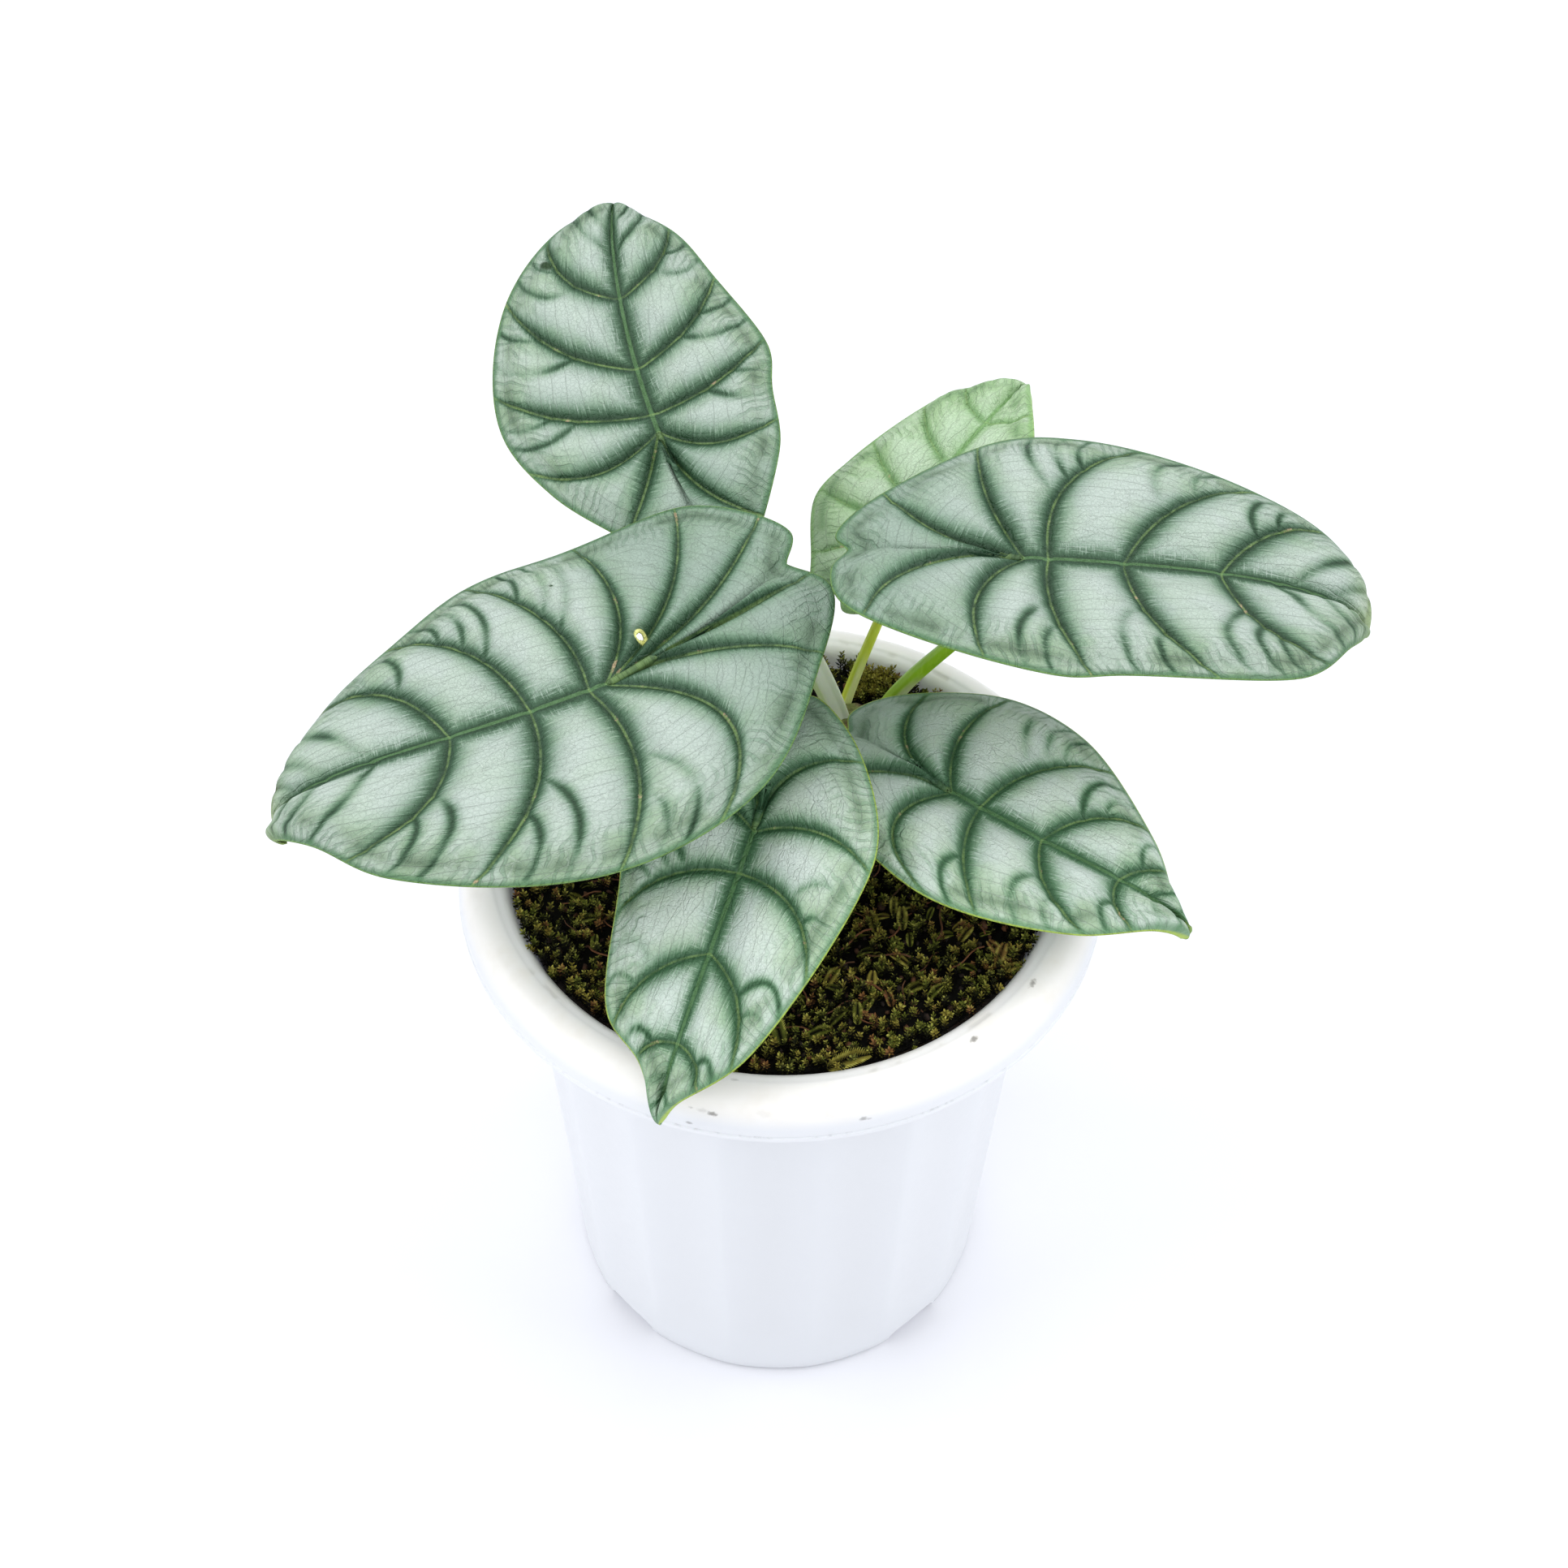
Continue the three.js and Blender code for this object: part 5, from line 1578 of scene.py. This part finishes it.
class ALOCASIA_OT_stalks(bpy.types.Operator):
    """Add the six leaf stalks"""
    bl_idname = "alocasia.add_stalks"
    bl_label = "Stalks"

    def execute(self, context):
        green = fleshy_stalk("fleshy_green_stalk", "B4D046", "8FC01E", "D6E2A8", "B0D24A")
        pale = fleshy_stalk("pale_sheathed_stalk", "D6E4B6", "CBDFA4", "F0F5E2", "D6E6A4")
        young = fleshy_stalk("young_yellow_green_stalk", "D4DE4E", "CEDB3C", "E4EBA0", "DCE860")
        finishes = {"a": ("pale_petiole", pale), "c": ("young_petiole", young)}
        for letter in LEAVES:
            slot, material = finishes.get(letter, ("petiole", green))
            stalk = build_stalk(letter, context.scene.alocasia_stalk)
            dress(stalk, slot, [material], f"petiole_{letter}")
        return {"FINISHED"}


class ALOCASIA_OT_leaves(bpy.types.Operator):
    """Add the six leaf blades"""
    bl_idname = "alocasia.add_leaves"
    bl_label = "Leaves"

    def execute(self, context):
        materials = {}
        for key, (_, colours) in FINISHES.items():
            sides = (("face", leaf_face), ("back", leaf_back), ("rim", leaf_rim))
            materials[key] = [make(f"{key}_leaf_{side}", colours) for side, make in sides]
        for number, letter in enumerate(LEAVES):
            key = LEAF_FINISHES[letter]
            blade = build_blade(letter, number, context.scene.alocasia_leaf)
            dress(blade, FINISHES[key][0], materials[key], f"blade_{letter}")
        return {"FINISHED"}


class ALOCASIA_OT_stage(bpy.types.Operator):
    """Add the white floor, the studio light and the camera"""
    bl_idname = "alocasia.add_stage"
    bl_label = "Stage"

    def execute(self, context):
        add_floor()
        light_studio(context.scene)
        add_camera(context.scene, context.scene.alocasia_stage)
        return {"FINISHED"}


# Stage: the lights' [name, place in metres, size in metres, power in watts]
PANELS = [
    ("front_panel", (0.0, -1.0, 0.95), 1.1, 4.2),
    ("left_panel", (-0.9, -0.1, 0.75), 0.9, 4.8),
    ("right_panel", (0.95, 0.0, 0.75), 0.9, 4.8),
    ("top_panel", (0.0, 0.3, 1.25), 1.0, 3.0),
    ("back_panel", (0.0, 1.0, 1.0), 1.1, 3.5),
]
LIT_POINT = (0, 0, 0.15)


def add_floor():
    deselect_all()
    bpy.ops.mesh.primitive_plane_add(size=6, location=(0, 0, -0.2 * MM))
    floor = named("studio_floor")
    paper = Finish("white_paper_sweep").done({
        "Base Color": (*linear("E9EAEE"), 1), "Roughness": 0.9, "Specular IOR Level": 0.1})
    floor.data.materials.append(paper)


def light_studio(scene):
    """High-key light: a white room, with large soft panels in front, at the sides, behind and above."""
    world = bpy.data.worlds.new("white_room")
    world.use_nodes = True
    background = world.node_tree.nodes["Background"].inputs
    background["Color"].default_value = (*linear("F6F7FD"), 1)
    background["Strength"].default_value = 0.78
    scene.world = world
    for name, place, size, power in PANELS:
        light = bpy.data.lights.new(name, "AREA")
        light.energy = power
        light.shape = "SQUARE"
        light.size = size
        lamp = bpy.data.objects.new(name, light)
        lamp.location = place
        lamp.rotation_euler = (Vector(LIT_POINT) - Vector(place)).to_track_quat("-Z", "Y").to_euler()
        scene.collection.objects.link(lamp)
    scene.view_settings.view_transform = "Standard"
    scene.view_settings.look = "None"


def add_camera(scene, settings):
    data = bpy.data.cameras.new("camera")
    data.lens = settings.lens
    data.sensor_width = settings.sensor
    data.clip_end = 20
    camera = bpy.data.objects.new("camera", data)
    rise = settings.elevation
    place = Vector(settings.aim) + settings.distance * Vector((0, -math.cos(rise), math.sin(rise)))
    turn = Matrix.Rotation(math.pi / 2 - rise, 4, "X") @ Matrix.Rotation(settings.tilt, 4, "Z")
    camera.matrix_world = Matrix.Translation(place) @ turn
    scene.collection.objects.link(camera)
    scene.camera = camera


class ALOCASIA_PT_panel(bpy.types.Panel):
    """Lists the plant's pieces and their settings"""
    bl_idname = "ALOCASIA_PT_panel"
    bl_label = "Potted alocasia"
    bl_space_type = "VIEW_3D"
    bl_region_type = "UI"
    bl_category = "Alocasia"

    def draw(self, context):
        for operator in OPERATORS:
            self.layout.operator(operator.bl_idname)
        for key in SETTINGS:
            box = self.layout.box()
            settings = getattr(context.scene, key)
            for name in settings.__annotations__:
                box.prop(settings, name)


OPERATORS = (ALOCASIA_OT_pot, ALOCASIA_OT_soil, ALOCASIA_OT_moss, ALOCASIA_OT_corm,
             ALOCASIA_OT_stalks, ALOCASIA_OT_leaves, ALOCASIA_OT_stage)


def register():
    for key, group in SETTINGS.items():
        bpy.utils.register_class(group)
        setattr(bpy.types.Scene, key, PointerProperty(type=group))
    for item in (*OPERATORS, ALOCASIA_PT_panel):
        bpy.utils.register_class(item)


def unregister():
    for item in (ALOCASIA_PT_panel, *reversed(OPERATORS)):
        bpy.utils.unregister_class(item)
    for key, group in SETTINGS.items():
        delattr(bpy.types.Scene, key)
        bpy.utils.unregister_class(group)


def main():
    register()
    bpy.ops.alocasia.add_pot()
    bpy.ops.alocasia.add_soil()
    bpy.ops.alocasia.add_moss()
    bpy.ops.alocasia.add_corm()
    bpy.ops.alocasia.add_stalks()
    bpy.ops.alocasia.add_leaves()
    bpy.ops.alocasia.add_stage()


if __name__ == "__main__":
    main()
